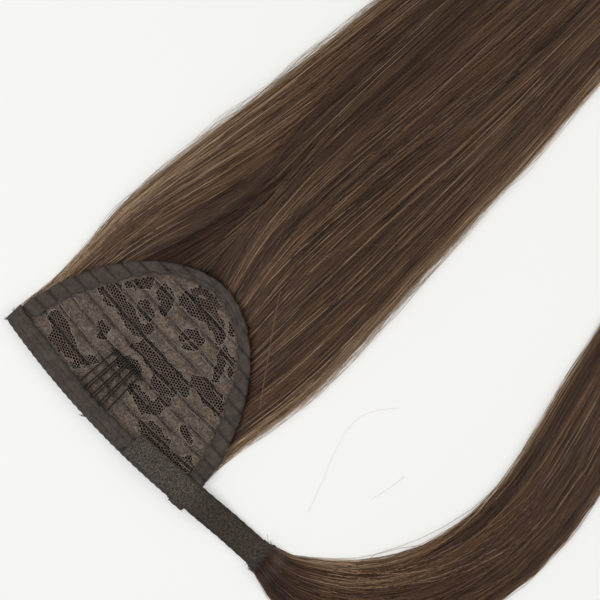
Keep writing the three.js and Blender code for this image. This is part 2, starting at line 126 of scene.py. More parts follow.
def tail_half(x):
    """Half the tail's width at x."""
    return HAIR_HALF * smooth_curve(WIDTHS[0], WIDTHS[1], np.clip(x / LENGTH, 0, 1))


def hair_top(x, y):
    """Height of the tail over the table, without its locks."""
    share = np.clip((x - HAIR_START) / (LENGTH - HAIR_START), 0, 1)
    loft = HAIR_LOFT * smooth_curve(LOFTS[0], LOFTS[1], share)
    return loft * (1 - 0.6 * np.clip(np.abs(y) / tail_half(x), 0, 1) ** 3)


def edge_x(y):
    """Where the bowed straight edge lies at y."""
    return -4 * (1 - np.clip(np.abs(y) / HALF, 0, 1) ** 2)


def step_up(value, low, high):
    """A soft step from 0 at low to 1 at high."""
    t = np.clip((value - low) / (high - low), 0, 1)
    return t * t * (3 - 2 * t)


# Tail: the way the hair runs
# The hair leaves the base fanned out, and its left side leans in over the middle, which leaves a dark
# parting.
# Each row is one line of hair from root to tip, as shares of the tail's half width; +1 is the left edge.
RUN_AT = [0, 46, 82, 100, 120, 140, 165, 200, 250, 310, 406]
RUNS = np.array([
    [1.0, 1.0, 1.0, 1.0, 1.0, 1.0, 1.0, 1.0, 1.0, 1.0, 1.0],
    [1.0, .95, .87, .83, .78, .73, .69, .68, .67, .66, .66],
    [.93, .82, .70, .64, .58, .55, .53, .54, .56, .57, .57],
    [.85, .70, .54, .46, .40, .37, .42, .46, .48, .49, .49],
    [.45, .42, .34, .30, .28, .31, .40, .45, .475, .485, .485],
    [.00, .00, .02, .12, .22, .28, .31, .32, .32, .31, .30],
    [-.30, -.30, -.27, -.23, -.205, -.21, -.235, -.29, -.38, -.42, -.42],
    [-.62, -.60, -.60, -.62, -.655, -.67, -.68, -.685, -.69, -.70, -.70],
    [-1.0, -1.0, -1.0, -1.0, -1.0, -1.0, -1.0, -1.0, -1.0, -1.0, -1.0],
])


def run_share(line, x):
    """Where line number line (it may lie between two rows) runs at x."""
    rows = np.stack([smooth_curve(RUN_AT, row, x) for row in RUNS])
    low = np.clip(np.floor(line).astype(int), 0, len(RUNS) - 2)
    part = line - low
    picked = np.take_along_axis(rows, low[None], 0)[0]
    return picked * (1 - part) + np.take_along_axis(rows, low[None] + 1, 0)[0] * part


def parting_depth(line, x):
    """How deep the parting sinks at a line of hair, from 0 to 1."""
    length = step_up(x, 62, 88) * (1 - step_up(x, 112, 180))
    return length * np.exp(-((line - 3.5) / 0.55) ** 2)


def lock_relief(line, x):
    """Soft ridges and hollows that run with the hair, about -1 to 1."""
    wave = np.sin(9.1 * line + 0.9 * np.sin(x / 47) + 0.6)
    wave += 0.7 * np.sin(21.3 * line + 1.3 * np.sin(x / 39 + 2) + 1.9)
    wave += 0.5 * np.sin(47.0 * line + 1.6 * np.sin(x / 31 + 4) + 3.3)
    return wave / 2.2


def hair_surface(line, x, y):
    """Height of the tail's upper surface."""
    top = hair_top(x, y)
    past = step_up(x, 70, 120)
    return top * (1 - 0.46 * parting_depth(line, x)) + (0.28 + 0.42 * past) * lock_relief(line, x) - 0.9


# Tail: the mass of the hair
# The inner hairs of the tail, too deep to be seen singly: one streaked body, a little smaller all round,
# whose dark colour paints the shade deep between the hairs. The streaks run lengthwise by its UV map.


def add_node(tree, kind, values=None, group=None):
    """A new shader node with its input values. A Mix node mixes colours; a Group node places a group."""
    node = tree.nodes.new("ShaderNode" + kind)
    if kind == "Mix":
        node.data_type = "RGBA"
    if group:
        node.node_tree = group
    for socket, value in (values or {}).items():
        node.inputs[socket].default_value = value
    return node


def join(tree, *links):
    """Link sockets. Each link is a node, its output, the next node and its input."""
    for source, output, target, socket in links:
        tree.links.new(source.outputs[output], target.inputs[socket])


def shader_group(name, inputs, outputs):
    """An empty node group with named sockets, and the nodes for its inputs and outputs."""
    group = bpy.data.node_groups.new(name, "ShaderNodeTree")
    for in_out, sockets in (("INPUT", inputs), ("OUTPUT", outputs)):
        for socket, kind in sockets.items():
            group.interface.new_socket(socket, in_out=in_out, socket_type="NodeSocket" + kind)
    return group, group.nodes.new("NodeGroupInput"), group.nodes.new("NodeGroupOutput")


# streaks of darker and lighter hair, along a pattern that is stretched before it comes in
hair_streaks, given, made = shader_group(
    "hair_streaks",
    {"Vector": "Vector", "Detail": "Float", "Dark": "Color", "Light": "Color"},
    {"Color": "Color", "Height": "Float"},
)
streak = add_node(hair_streaks, "TexNoise", {"Scale": 1.0})
lightness = add_node(hair_streaks, "MapRange", {"From Min": 0.3, "From Max": 0.75})
streak_colour = add_node(hair_streaks, "Mix")
join(
    hair_streaks,
    (given, "Vector", streak, "Vector"),
    (given, "Detail", streak, "Detail"),
    (streak, "Fac", lightness, "Value"),
    (lightness, "Result", streak_colour, "Factor"),
    (given, "Dark", streak_colour, "A"),
    (given, "Light", streak_colour, "B"),
    (streak_colour, "Result", made, "Color"),
    (streak, "Fac", made, "Height"),
)

hair_mass, tree, shader = new_material("hair_mass", 0.5, 0.3)
along_hair = add_node(tree, "UVMap")
along_hair.uv_map = "UVMap"
stretch = add_node(tree, "Mapping", {"Scale": (1800, 14, 1)})
# its colours lie below the strands' tones: painted shade between the hairs
streaks = add_node(tree, "Group", group=hair_streaks, values={
    "Detail": 3.0, "Dark": (0.015, 0.007, 0.0045, 1), "Light": (0.066, 0.033, 0.019, 1)})
relief = add_node(tree, "Bump", {"Strength": 0.6, "Distance": 0.0003})
join(
    tree,
    (along_hair, "UV", stretch, "Vector"),
    (stretch, "Vector", streaks, "Vector"),
    (streaks, "Color", shader, "Base Color"),
    (streaks, "Height", relief, "Height"),
    (relief, "Normal", shader, "Normal"),
)


def add_piece(name, mesh, material):
    """A piece on the fixed body, from a mesh."""
    mesh.materials.append(material)
    mesh.shade_smooth()
    piece = bpy.data.objects.new(name, mesh)
    bpy.context.scene.collection.objects.link(piece)
    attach(piece, "root")
    return piece


def mesh_piece(name, points, faces, material):
    """A piece from points in millimetres and lists of corners."""
    mesh = bpy.data.meshes.new(name)
    mesh.from_pydata((np.asarray(points) * MM).tolist(), [], faces)
    mesh.validate()
    return add_piece(name, mesh, material)


def skin_piece(name, ring, material, turned_over=False, split_ends=False):
    """A closed piece through rings of points, laid out as (station, around, xyz) in millimetres."""
    rows, around = ring.shape[:2]
    index = np.arange(rows * around).reshape(rows, around)
    beside = np.roll(index, -1, axis=1)
    quads = np.stack([index[:-1], index[1:], beside[1:], beside[:-1]], -1).reshape(-1, 4)
    faces = quads[:, [0, 3, 2, 1] if turned_over else [0, 1, 2, 3]].tolist()
    if split_ends:
        for i in range(around // 2 - 1):
            near, far = (i + 1, i) if turned_over else (i, i + 1)
            for row, a, b in ((index[0], near, far), (index[-1], far, near)):
                faces.append([row[a], row[b], row[around - 1 - b], row[around - 1 - a]])
    else:
        way_round = -1 if turned_over else 1
        faces.append(index[0, ::way_round].tolist())
        faces.append(index[-1, ::-way_round].tolist())
    return mesh_piece(name, ring.reshape(-1, 3), faces, material)


def streak_map(piece, across, along):
    """The UV map of a mass of hair, from two values per point."""
    uv = piece.data.uv_layers.new(name="UVMap")
    corner = np.zeros(len(piece.data.loops), int)
    piece.data.loops.foreach_get("vertex_index", corner)
    uv.data.foreach_set("uv", np.stack([across.ravel()[corner], along.ravel()[corner]], -1).ravel())


MASS_INSET = 4.6  # from the tail's sides
stations = np.concatenate([np.linspace(0.5, 80, 18), np.linspace(86, 330, 42), np.linspace(336, 388, 8)])
lines = np.concatenate([np.linspace(0, 3, 27), np.linspace(3, 4, 13)[1:], np.linspace(4, 8, 42)[1:]])
x, line = np.meshgrid(stations, lines, indexing="ij")
share = run_share(line, x)
inside = 1 - MASS_INSET / tail_half(x)
y = share * inside * tail_half(x)
high = hair_surface(line, x, y) - 1.3
rim = np.clip(1 - np.abs(share) ** 14, 0, 1) ** 0.5
z = 1.2 + np.maximum(high - 1.2, 0.3) * np.maximum(rim, 0.04)
z = np.where(x < DEPTH, np.minimum(z, hair_top(x, y) - 0.9), z)
top = np.stack([x + edge_x(y) * (1 - np.clip(x / 90, 0, 1)) + 1.2, y, z], -1)
low_z = np.full_like(z, 0.4) + 0.8 * (1 - np.maximum(rim, 0.0))
bottom = np.stack([top[..., 0], y * (1 - 0.01 * (1 - rim)), low_z], -1)
ring = np.concatenate([top, bottom[:, ::-1]], axis=1)
tail_mass = skin_piece("tail_mass", ring, hair_mass, split_ends=True)
line_round = np.concatenate([line, line[:, ::-1]], axis=1)
x_round = np.concatenate([x, x[:, ::-1]], axis=1)
streak_map(tail_mass, line_round * 0.016, x_round * 0.01)
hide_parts("tail_hair")

# Tail: the strands
# Thousands of straight hairs in locks that weave over and under each other. They start under the base's edge
# and thin out to ragged tips. At the two sides they lie thin over the table, and their tone is raised there
# to paint the light that shows through thin hair. Each hair carries its own tone from 0 to 1.
TAIL_STRANDS = 2700  # in each of the three parts
STRAND = 0.108  # radius
DEEPEST = 2.2  # how deep a hair lies under the surface at most
TAIL_PARTS = [
    ("tail_strands_left", 0.0, 3.5),
    ("tail_strands_middle", 3.5, 6.2),
    ("tail_strands_right", 6.2, 8.0),
]
HAIR_TONES = [
    (0.0, (0.006, 0.0035, 0.0022, 1)),
    (0.4, (0.052, 0.0215, 0.0105, 1)),
    (0.7, (0.185, 0.098, 0.047, 1)),
    (1.0, (0.56, 0.41, 0.26, 1)),
]


def read_value(tree, name):
    """A node that reads a value stored on the points."""
    node = add_node(tree, "Attribute")
    node.attribute_name = name
    return node


hair_strand, tree, shader = new_material("hair_strand", 0.42, 0.30)
tone = read_value(tree, "tone")
ramp = add_node(tree, "ValToRGB")
for at, _ in HAIR_TONES[1:-1]:
    ramp.color_ramp.elements.new(at)
for stop, (_, colour) in zip(ramp.color_ramp.elements, HAIR_TONES):
    stop.color = colour
join(tree, (tone, "Fac", ramp, "Fac"), (ramp, "Color", shader, "Base Color"))


def point_values(piece, name, values):
    """One value per point, for the material to read."""
    piece.data.attributes.new(name, "FLOAT", "POINT")
    piece.data.attributes[name].data.foreach_set("value", np.ravel(values).astype(np.float32))


def thin_tubes(name, paths, radii, tones, material, sides=3):
    """One piece of many closed thin tubes. Paths are (tube, station, xyz) in millimetres."""
    count, stations = paths.shape[:2]
    along = np.gradient(paths, axis=1)
    along /= np.linalg.norm(along, axis=2, keepdims=True) + 1e-9
    side = np.cross(np.array([0.0, 0.0, 1.0]), along)
    side += 1e-6
    side /= np.linalg.norm(side, axis=2, keepdims=True)
    up = np.cross(along, side)
    angle = np.arange(sides) * 2 * np.pi / sides + np.pi / 2
    ring = side[:, :, None] * np.cos(angle)[:, None] + up[:, :, None] * np.sin(angle)[:, None]
    points = paths[:, :, None] + ring * radii[:, :, None, None]
    corner = np.arange(count * stations * sides).reshape(count, stations, sides)
    after = np.roll(corner, -1, axis=2)
    quads = np.stack([corner[:, :-1], after[:, :-1], after[:, 1:], corner[:, 1:]], axis=-1).reshape(-1, 4)
    ends = np.concatenate([corner[:, 0, ::-1], corner[:, -1]])
    mesh = bpy.data.meshes.new(name)
    mesh.vertices.add(points.size // 3)
    mesh.vertices.foreach_set("co", (points * MM).ravel())
    mesh.loops.add(quads.size + ends.size)
    mesh.loops.foreach_set("vertex_index", np.concatenate([quads.ravel(), ends.ravel()]))
    mesh.polygons.add(len(quads) + len(ends))
    starts = np.concatenate([np.arange(len(quads)) * 4, quads.size + np.arange(len(ends)) * sides])
    mesh.polygons.foreach_set("loop_start", starts)
    mesh.update(calc_edges=True)
    piece = add_piece(name, mesh, material)
    point_values(piece, "tone", np.repeat(tones.ravel(), sides))
    return piece


rng = np.random.default_rng(11)
count = TAIL_STRANDS
for name, first, last in TAIL_PARTS:
    knots = np.linspace(first, last, 400)
    widths = -np.diff(run_share(knots, np.full(400, 200.0))) + 0.0006
    spread = np.concatenate([[0], np.cumsum(widths)])
    home = np.interp(rng.random(count) * spread[-1], spread, knots)
    # most hairs gather into locks, and each lock keeps a height and a tone of its own
    locks = 46
    lock_line = np.sort(rng.uniform(first, last, locks))
    nearest = np.abs(home[:, None] - lock_line).argmin(1)
    gather = rng.uniform(0.0, 0.36, locks)[nearest]
    lock_phase = rng.uniform(0, 6.28, locks)[nearest]
    lock_tone = rng.normal(0, 0.028, locks)[nearest]
    # each hair starts a little inside the base's outline
    at_root = np.abs(run_share(home, np.full(count, 60.0)))
    outline = DEPTH * np.clip(1 - np.clip(at_root * 0.97, 0, 1) ** POWER, 0, 1) ** (1 / POWER)
    start = np.maximum(outline - rng.uniform(4, 22, count), rng.uniform(0.5, 9, count))
    short = 0.055 * rng.random(count) ** 1.5
    tip = LENGTH * (1 - short - 0.05 * (at_root > 0.9) * rng.random(count))
    share_along = np.array([0, .05, .105, .17, .245, .33, .44, .58, .77, 1.0])
    uneven = np.pad(rng.uniform(-.012, .012, (count, 8)), ((0, 0), (1, 1)))
    x = start[:, None] + (tip - start)[:, None] * np.clip(share_along + uneven, 0, 1)
    home_x = np.repeat(home[:, None], x.shape[1], 1)
    lock_x = np.repeat(lock_line[nearest][:, None], x.shape[1], 1)
    pull = gather[:, None] * (0.5 + 0.5 * np.sin(x / 62 + lock_phase[:, None])) * step_up(x, 60, 150)
    line = home_x + (lock_x - home_x) * pull
    # some hairs wander across their neighbours
    wander = rng.normal(0, 1, count) * np.where(rng.random(count) < 0.20, 0.15, 0.045)
    phase = rng.uniform(0, 6.28, count)
    line = line + wander[:, None] * np.sin(x / rng.uniform(40, 90, count)[:, None] + phase[:, None])
    line = np.clip(line, max(first - 0.25, 0.0), min(last + 0.25, 8.0))
    share = np.clip(run_share(line, x), -1, 1)
    at_side = step_up(np.abs(share), 0.89, 1.0)
    loose = rng.normal(0, 0.8, count)
    loose = loose - 2.6 * np.sign(home - 4) * rng.random(count) * (rng.random(count) < 0.05)
    fray = loose[:, None] * np.sin(x / rng.uniform(22, 60, count)[:, None] + phase[:, None]) * at_side
    # the sides lie a little inside the tail's full width
    slim = np.where(share > 0, 1.6 * (1 - step_up(x, 225, 275)), 1.1 * (1 - step_up(x, 160, 200)))
    slim = slim * step_up(x, 70, 95)
    y = share * (tail_half(x) - 1.0 - slim) + fray
    # the upper hairs lie on the surface, the others inside it or down the sides
    depth = rng.random(count) ** 1.4
    weave = 0.5 + 0.5 * np.sin(x / 33 + rng.uniform(0, 6.28, count)[:, None])
    sunk = DEEPEST * (0.72 * depth[:, None] + 0.28 * weave)
    side = step_up(np.abs(share), 0.93, 1.0)
    down = rng.random(count)[:, None]
    high = hair_surface(line, x, y) - sunk + 0.5
    z = high * (1 - side * down * 0.92)
    room = hair_top(x, y) - 0.35
    under_base = 1 - step_up(x - outline[:, None], -3.0, 9.0)
    z = z * (1 - under_base) + np.minimum(z, room - 0.4) * under_base
    z = np.clip(z, 0.25, None)
    x_bowed = x + edge_x(y) * (1 - np.clip(x / 90, 0, 1)) + 2.0 * (x < 20)
    paths = np.stack([x_bowed, y, z], -1)
    pick = rng.random(count)[:, None]
    tone = 0.335 + lock_tone[:, None] + rng.normal(0, 0.16, count)[:, None]
    tone = tone + 0.05 * (1 - step_up(x, 110, 200))
    # lighter on the left side: painted highlight
    tone = tone + 0.07 * step_up(share, 0.45, 0.75) * (1 - step_up(x, 180, 280))
    tone = tone + 0.22 * (pick < 0.14) - 0.20 * (pick > 0.78)
    # deeper hairs and hairs in the parting get a darker tone: painted shade
    tone = tone - 0.30 * (sunk / DEEPEST - 0.35) - 0.10 * parting_depth(line, x)
    # darker just past the base's edge: painted shade under the binding
    shade = np.exp(-np.clip(x - outline[:, None], 0, None) / 9.0)
    # the sides get a lighter tone: painted light through thin hair over the white table
    tone = tone - 0.10 * shade + 0.60 * at_side * (0.6 + 0.4 * down)
    # a slow ripple of tone along each hair: painted highlights
    tone = tone + 0.05 * np.sin(x / 24 + phase[:, None])
    taper = 1 - 0.75 * step_up(x, tip[:, None] - 60, tip[:, None])
    radii = STRAND * rng.uniform(0.8, 1.3, count)[:, None] * taper
    radii = radii * (1 - 0.25 * (pick < 0.12)) * (1 - 0.3 * at_side)
    strands = thin_tubes(name, paths, radii, np.clip(tone, 0.02, 1), hair_strand)

# Tail: the crossing lock and stray hairs
# One lock from the left shoulder lies over the parting, and single hairs lie loose on top and at the sides.
# Each list of points is the way of one stray hair.
rng = np.random.default_rng(23)
CROSS_X = [40, 52, 63, 75, 87, 99, 111, 121, 130, 146, 163, 182, 205, 235, 270]
CROSS_Y = [53, 47.5, 43, 38.2, 34, 31.2, 29, 27.8, 27.2, 29, 31.5, 32.5, 32, 31, 30]
count = 330
wide = rng.normal(0, 1, count)
begin = rng.uniform(44, 60, count)
finish = rng.uniform(150, 268, count)
x = begin[:, None] + (finish - begin)[:, None] * np.linspace(0, 1, 12)
spread = 2.1 + 3.2 * (1 - step_up(x, 45, 85)) + 4.5 * step_up(x, 130, 240)
y = smooth_curve(CROSS_X, CROSS_Y, x) + wide[:, None] * spread * 0.62
lift = hair_top(x, y) + 0.7 * np.exp(-wide ** 2)[:, None] - rng.random(count)[:, None] * 1.2
ends_in = 1 - step_up(x, finish[:, None] - 45, finish[:, None])
z = lift - 0.5 - 2.4 * (1 - ends_in) - 2.2 * (1 - step_up(x, 58, 76))
z = np.maximum(z - 1.6 * np.exp(-((x - 100) / 22) ** 2), 0.3)
tone = 0.34 + rng.normal(0, 0.12, count)[:, None]
# hairs on the parting side of the lock are darkened: painted shadow of the lock
tone = tone - 0.08 * (y < smooth_curve(CROSS_X, CROSS_Y, x) - 1.6)
radii = STRAND * rng.uniform(0.8, 1.2, count)[:, None] * (0.3 + 0.7 * ends_in)
crossing = thin_tubes("crossing_lock", np.stack([x, y, z], -1), radii, np.clip(tone, 0.02, 1), hair_strand)

STRAY = 0.065  # radius of a loose hair
STRAY_WAYS = [
    [(59.6, -51.1, 15.0), (64.4, -47.3, 15.6), (77.7, -37.1, 16.2), (89.0, -28.4, 15.8), (99.7, -20.4, 15.3),
     (104.5, -17.2, 14.6)],
    [(116.8, -15.7, 14.9), (123.5, -16.8, 15.4), (132.9, -20.4, 15.6), (141.7, -24.8, 15.6),
     (156.8, -36.2, 14.6), (167.8, -45.1, 13.0), (179.4, -53.3, 11.2)],
    [(69.1, -118.9, 2.5), (78.2, -120.9, 1.2), (87.5, -121.9, 0.4)],
    [(107.5, -96.2, 0.4), (97.9, -89.3, 0.5), (88.9, -86.6, 0.9), (80.2, -87.6, 1.0), (73.7, -89.8, 0.9),
     (65.5, -93.1, 0.6), (57.6, -96.8, 0.4), (49.1, -100.4, 0.4), (41.9, -103.3, 0.4)],
]
paths, tones, radii = [], [], []
for way, shade, thick in zip(STRAY_WAYS, (0.72, 0.62, 0.9, 1.0), (0.16, 0.13, 0.05, 0.04)):
    way = np.array(way)
    at = np.linspace(0, len(way) - 1, 24)
    paths.append(np.stack([smooth_curve(np.arange(len(way)), way[:, k], at) for k in range(3)], -1))
    tones.append(np.full(24, shade))
    radii.append(np.full(24, thick))
for _ in range(230):
    sign = rng.choice([-1, 1])
    begin = rng.uniform(20, 320)
    reach = rng.uniform(20, 80)
    x = begin + reach * np.linspace(0, 1, 24)
    bow = np.sin(np.linspace(0, np.pi, 24)) * rng.uniform(0.4, 3.4)
    y = sign * (tail_half(x) + 0.3 * rng.normal() + bow - 1.8)
    paths.append(np.stack([x, y, np.full(24, rng.uniform(0.3, 4.0))], -1))
    tones.append(np.full(24, rng.uniform(0.6, 1.0)))
    radii.append(np.full(24, STRAY))
strays = thin_tubes("stray_hairs", np.array(paths), np.array(radii), np.array(tones), hair_strand)

# Weft rows
# Nine strips of doubled hair, machine-sewn, one beside the other under the lace.
# They keep the shape of the frame and take the streaked hair finish, in a very dark colour that paints the
# shade under the lace.
FIRST_WEFT = 13.5  # from the straight edge
WEFT_PITCH = 6.9
WEFTS = [f"weft_row_{k + 1}" for k in range(9)]
weft_hair, tree, shader = new_material("weft_hair", 0.7, 0.04)
place = add_node(tree, "TexCoord")
stretch = add_node(tree, "Mapping", {"Scale": (90, 2600, 90)})
streaks = add_node(tree, "Group", group=hair_streaks, values={
    "Detail": 2.0, "Dark": (0.003, 0.002, 0.002, 1), "Light": (0.016, 0.010, 0.007, 1)})
join(
    tree,
    (place, "Object", stretch, "Vector"),
    (stretch, "Vector", streaks, "Vector"),
    (streaks, "Color", shader, "Base Color"),
)
for weft in WEFTS:
    nodes[weft].data.materials.clear()
    nodes[weft].data.materials.append(weft_hair)

# Lace panel
# Stretch lace with flowers: closed knitted petals and leaves with a thicker thread round them, and open net
# between them. It is sewn down along every weft, so it stands up in ribs with a fold line between two.


def cloth_group():
    """Cloth in two tones by its grain, with a light thread on it and a darker colour mixed in, which paints
    the shade in creases on the lace and tapes and darkens parts of the strap.
    """
    group, given, made = shader_group(
        "darkened_cloth",
        {"Grain": "Float", "Low": "Float", "High": "Float", "Dark": "Color", "Light": "Color",
         "Thread": "Float", "Thread Colour": "Color", "Darkening": "Float", "Darkening Colour": "Color"},
        {"Color": "Color"},
    )
    contrast = add_node(group, "MapRange")
    ground = add_node(group, "Mix")
    threaded = add_node(group, "Mix")
    darkened = add_node(group, "Mix")
    join(
        group,
        (given, "Grain", contrast, "Value"),
        (given, "Low", contrast, "From Min"),
        (given, "High", contrast, "From Max"),
        (contrast, "Result", ground, "Factor"),
        (given, "Dark", ground, "A"),
        (given, "Light", ground, "B"),
        (given, "Thread", threaded, "Factor"),
        (ground, "Result", threaded, "A"),
        (given, "Thread Colour", threaded, "B"),
        (given, "Darkening", darkened, "Factor"),
        (threaded, "Result", darkened, "A"),
        (given, "Darkening Colour", darkened, "B"),
        (darkened, "Result", made, "Color"),
    )
    return group


def maths(tree, operation, values=None):
    """A node that reckons with numbers; values go to its inputs by number."""
    node = add_node(tree, "Math", values)
    node.operation = operation
    return node


darkened_cloth = cloth_group()
lace_cloth, tree, shader = new_material("lace_cloth", 0.8, 0.25)
place = add_node(tree, "TexCoord")
knit = add_node(tree, "TexVoronoi", {"Scale": 1050})
petals = add_node(tree, "TexVoronoi", {"Scale": 120})
petals.feature = "DISTANCE_TO_EDGE"
cloudy = add_node(tree, "TexNoise", {"Scale": 420, "Detail": 4})
petal_line = add_node(tree, "MapRange", {"From Min": 0.0, "From Max": 0.05, "To Min": 0.22, "To Max": 0.0})
petal_edge = add_node(tree, "MapRange", {"From Max": 0.16})
grain = maths(tree, "MULTIPLY_ADD", {1: 0.8})
lighter = maths(tree, "MAXIMUM")
rim = read_value(tree, "rim")
darkening = read_value(tree, "darkening")
cloth = add_node(tree, "Group", group=darkened_cloth, values={
    "Low": 0.45, "High": 1.15, "Dark": (0.034, 0.026, 0.021, 1), "Light": (0.142, 0.106, 0.081, 1),
    "Thread Colour": (0.22, 0.17, 0.135, 1), "Darkening Colour": (0.018, 0.013, 0.011, 1)})
petal_relief = add_node(tree, "Bump", {"Strength": 1.0, "Distance": 0.00035})
relief = add_node(tree, "Bump", {"Strength": 1.0, "Distance": 0.0009})
join(
    tree,
    (place, "Object", knit, "Vector"),
    (place, "Object", petals, "Vector"),
    (place, "Object", cloudy, "Vector"),
    (knit, "Distance", grain, 0),
    (cloudy, "Fac", grain, 2),
    (grain, "Value", cloth, "Grain"),
    (petals, "Distance", petal_line, "Value"),
    (petal_line, "Result", lighter, 0),
    (rim, "Fac", lighter, 1),
    (lighter, "Value", cloth, "Thread"),
    (darkening, "Fac", cloth, "Darkening"),
    (cloth, "Color", shader, "Base Color"),
    (petals, "Distance", petal_edge, "Value"),
    (petal_edge, "Result", petal_relief, "Height"),
    (petal_relief, "Normal", relief, "Normal"),
    (knit, "Distance", relief, "Height"),
    (relief, "Normal", shader, "Normal"),
)

TAPE = 8.5  # width of the binding
CROWN_TAPE = 5.7  # and round the crown, where it is folded narrower


def half_inside(x, inset):
    """Half the base's width at x, inset from its edge."""
    share = np.clip(x / (DEPTH - inset), 0, 1)
    return (HALF - inset) * (1 - share ** POWER) ** (1 / POWER)


def lace_bed(x, y):
    """Height of the flat base over the hair."""
    return hair_top(x, y) + 1.6


def tape_width(x):
    """Width of the binding at x."""
    return TAPE - (TAPE - CROWN_TAPE) * step_up(x, DEPTH - 34.5, DEPTH - 11.5)


def groove_at(x):
    """Distance to the nearest groove between two wefts."""
    return np.abs(np.mod(x - FIRST_WEFT, WEFT_PITCH) - WEFT_PITCH / 2)


def lace_under(x, y):
    """Height of the lace, which rises over every weft and sinks between two."""
    room = np.minimum(half_inside(x, TAPE) - np.abs(y), x - FIRST_WEFT + WEFT_PITCH / 2)
    off = np.abs(np.mod(x - FIRST_WEFT + WEFT_PITCH / 2, WEFT_PITCH) - WEFT_PITCH / 2)
    rib = 0.8 - 1.6 * step_up(off, 1.3, 3.45)
    return lace_bed(x, y) + rib * step_up(room, 0, 6)


def row_x(distance, y):
    """Where a row that lies distance from the straight edge is at y; the rows bow with the edge."""
    return distance + edge_x(y) * (1 - np.clip(distance / DEPTH, 0, 1))


# Each row is one patch of open net: x, y and radius along its middle.
NET = [
    [(18.7, 46.5, 2.5), (18.6, 42.0, 4.2), (16.4, 36.0, 4.2), (15.1, 30.2, 3.8), (15.0, 26.9, 2.5),
     (16.2, 22.1, 2.2), (19.8, 19.0, 2.2)],
    [(10.9, 38.8, 2.4), (10.2, 34.8, 2.4)],
    [(11.5, 24.4, 1.3), (13.4, 22.0, 1.3)],
    [(33.4, 28.8, 1.7), (33.0, 25.2, 1.9), (30.0, 23.9, 1.5)],
    [(45.6, 40.1, 3.4), (49.6, 36.9, 3.4), (46.4, 34.7, 4.7), (46.6, 28.7, 3.4), (46.2, 23.9, 3.4),
     (44.6, 18.5, 3.2), (45.3, 13.6, 2.5), (47.9, 11.4, 2.5)],
    [(55.4, 33.8, 2.1), (57.6, 31.2, 2.4), (62.2, 28.1, 2.7), (62.4, 30.2, 1.9)],
    [(52.9, 21.8, 2.4), (52.4, 17.0, 3.2), (54.1, 20.6, 2.4)],
    [(64.4, 18.6, 3.8), (64.2, 15.3, 3.0), (59.5, 13.4, 2.5)],
    [(69.8, 9.6, 3.4), (71.5, 3.3, 4.7), (72.9, -2.0, 4.2), (72.5, -6.2, 3.4), (71.7, -10.7, 2.5),
     (68.9, -15.0, 2.1)],
    [(74.9, 9.4, 1.9), (78.3, 6.9, 1.7), (79.0, 2.7, 2.5), (77.4, -0.9, 2.5)],
    [(81.0, -10.1, 1.7), (78.4, -13.5, 1.9), (75.5, -16.0, 2.1)],
    [(57.1, -2.9, 1.9), (60.4, -2.5, 1.9), (62.3, -5.4, 1.9), (61.5, -8.7, 1.7), (58.5, -9.4, 1.5),
     (55.7, -6.2, 1.5)],
    [(38.7, 9.6, 2.1), (41.5, 5.8, 3.8), (41.4, 0.1, 4.4), (40.4, -5.9, 4.4), (40.7, -11.9, 4.1),
     (41.8, -17.5, 3.4), (41.0, -21.5, 2.1)],
    [(33.7, -8.9, 2.4), (34.5, -14.2, 2.7), (36.7, -17.4, 2.1)],
    [(28.8, 9.5, 1.9), (31.6, 6.3, 2.5), (32.4, 1.6, 2.1)],
    [(24.8, -3.5, 2.1), (24.7, -8.6, 3.0), (23.1, -14.6, 3.2), (25.9, -17.8, 3.2), (31.0, -17.9, 3.0)],
    [(65.5, -20.5, 2.4), (62.6, -23.0, 2.4), (58.5, -25.0, 2.4), (55.6, -26.9, 1.7)],
    [(65.9, -22.6, 1.7), (64.9, -27.4, 2.4), (62.6, -31.1, 2.4), (60.6, -33.3, 1.5)],
    [(47.6, -21.8, 2.5), (48.7, -26.3, 3.8), (47.4, -32.0, 4.1), (47.0, -37.4, 3.6), (45.7, -41.9, 2.1)],
    [(16.4, -19.4, 1.9), (17.1, -22.9, 3.8), (16.4, -27.5, 4.2), (16.6, -32.2, 3.2), (13.4, -36.3, 2.5),
     (14.5, -40.7, 2.1)],
    [(28.6, -33.0, 1.3), (27.5, -36.6, 1.7), (26.4, -39.7, 1.3)],
    [(15.5, -43.4, 2.4), (17.4, -46.9, 3.2), (16.6, -49.6, 2.1)],
]


def net_edge(x, y):
    """Distance to the edge of the open net, negative inside it. The edge is scalloped."""
    nearest = np.full(np.shape(x), 99.0)
    for patch in NET:
        for (ax, ay, ar), (bx, by, br) in zip(patch[:-1], patch[1:]):
            length = (bx - ax) ** 2 + (by - ay) ** 2
            t = np.clip(((x - ax) * (bx - ax) + (y - ay) * (by - ay)) / length, 0, 1)
            away = np.hypot(x - ax - t * (bx - ax), y - ay - t * (by - ay)) - ar - t * (br - ar)
            nearest = np.minimum(nearest, away)
    scallop = np.abs(np.sin(0.50 * x + 0.30 * y)) + np.abs(np.sin(0.52 * y - 0.28 * x + 1))
    return nearest + 0.85 * scallop - 1.6


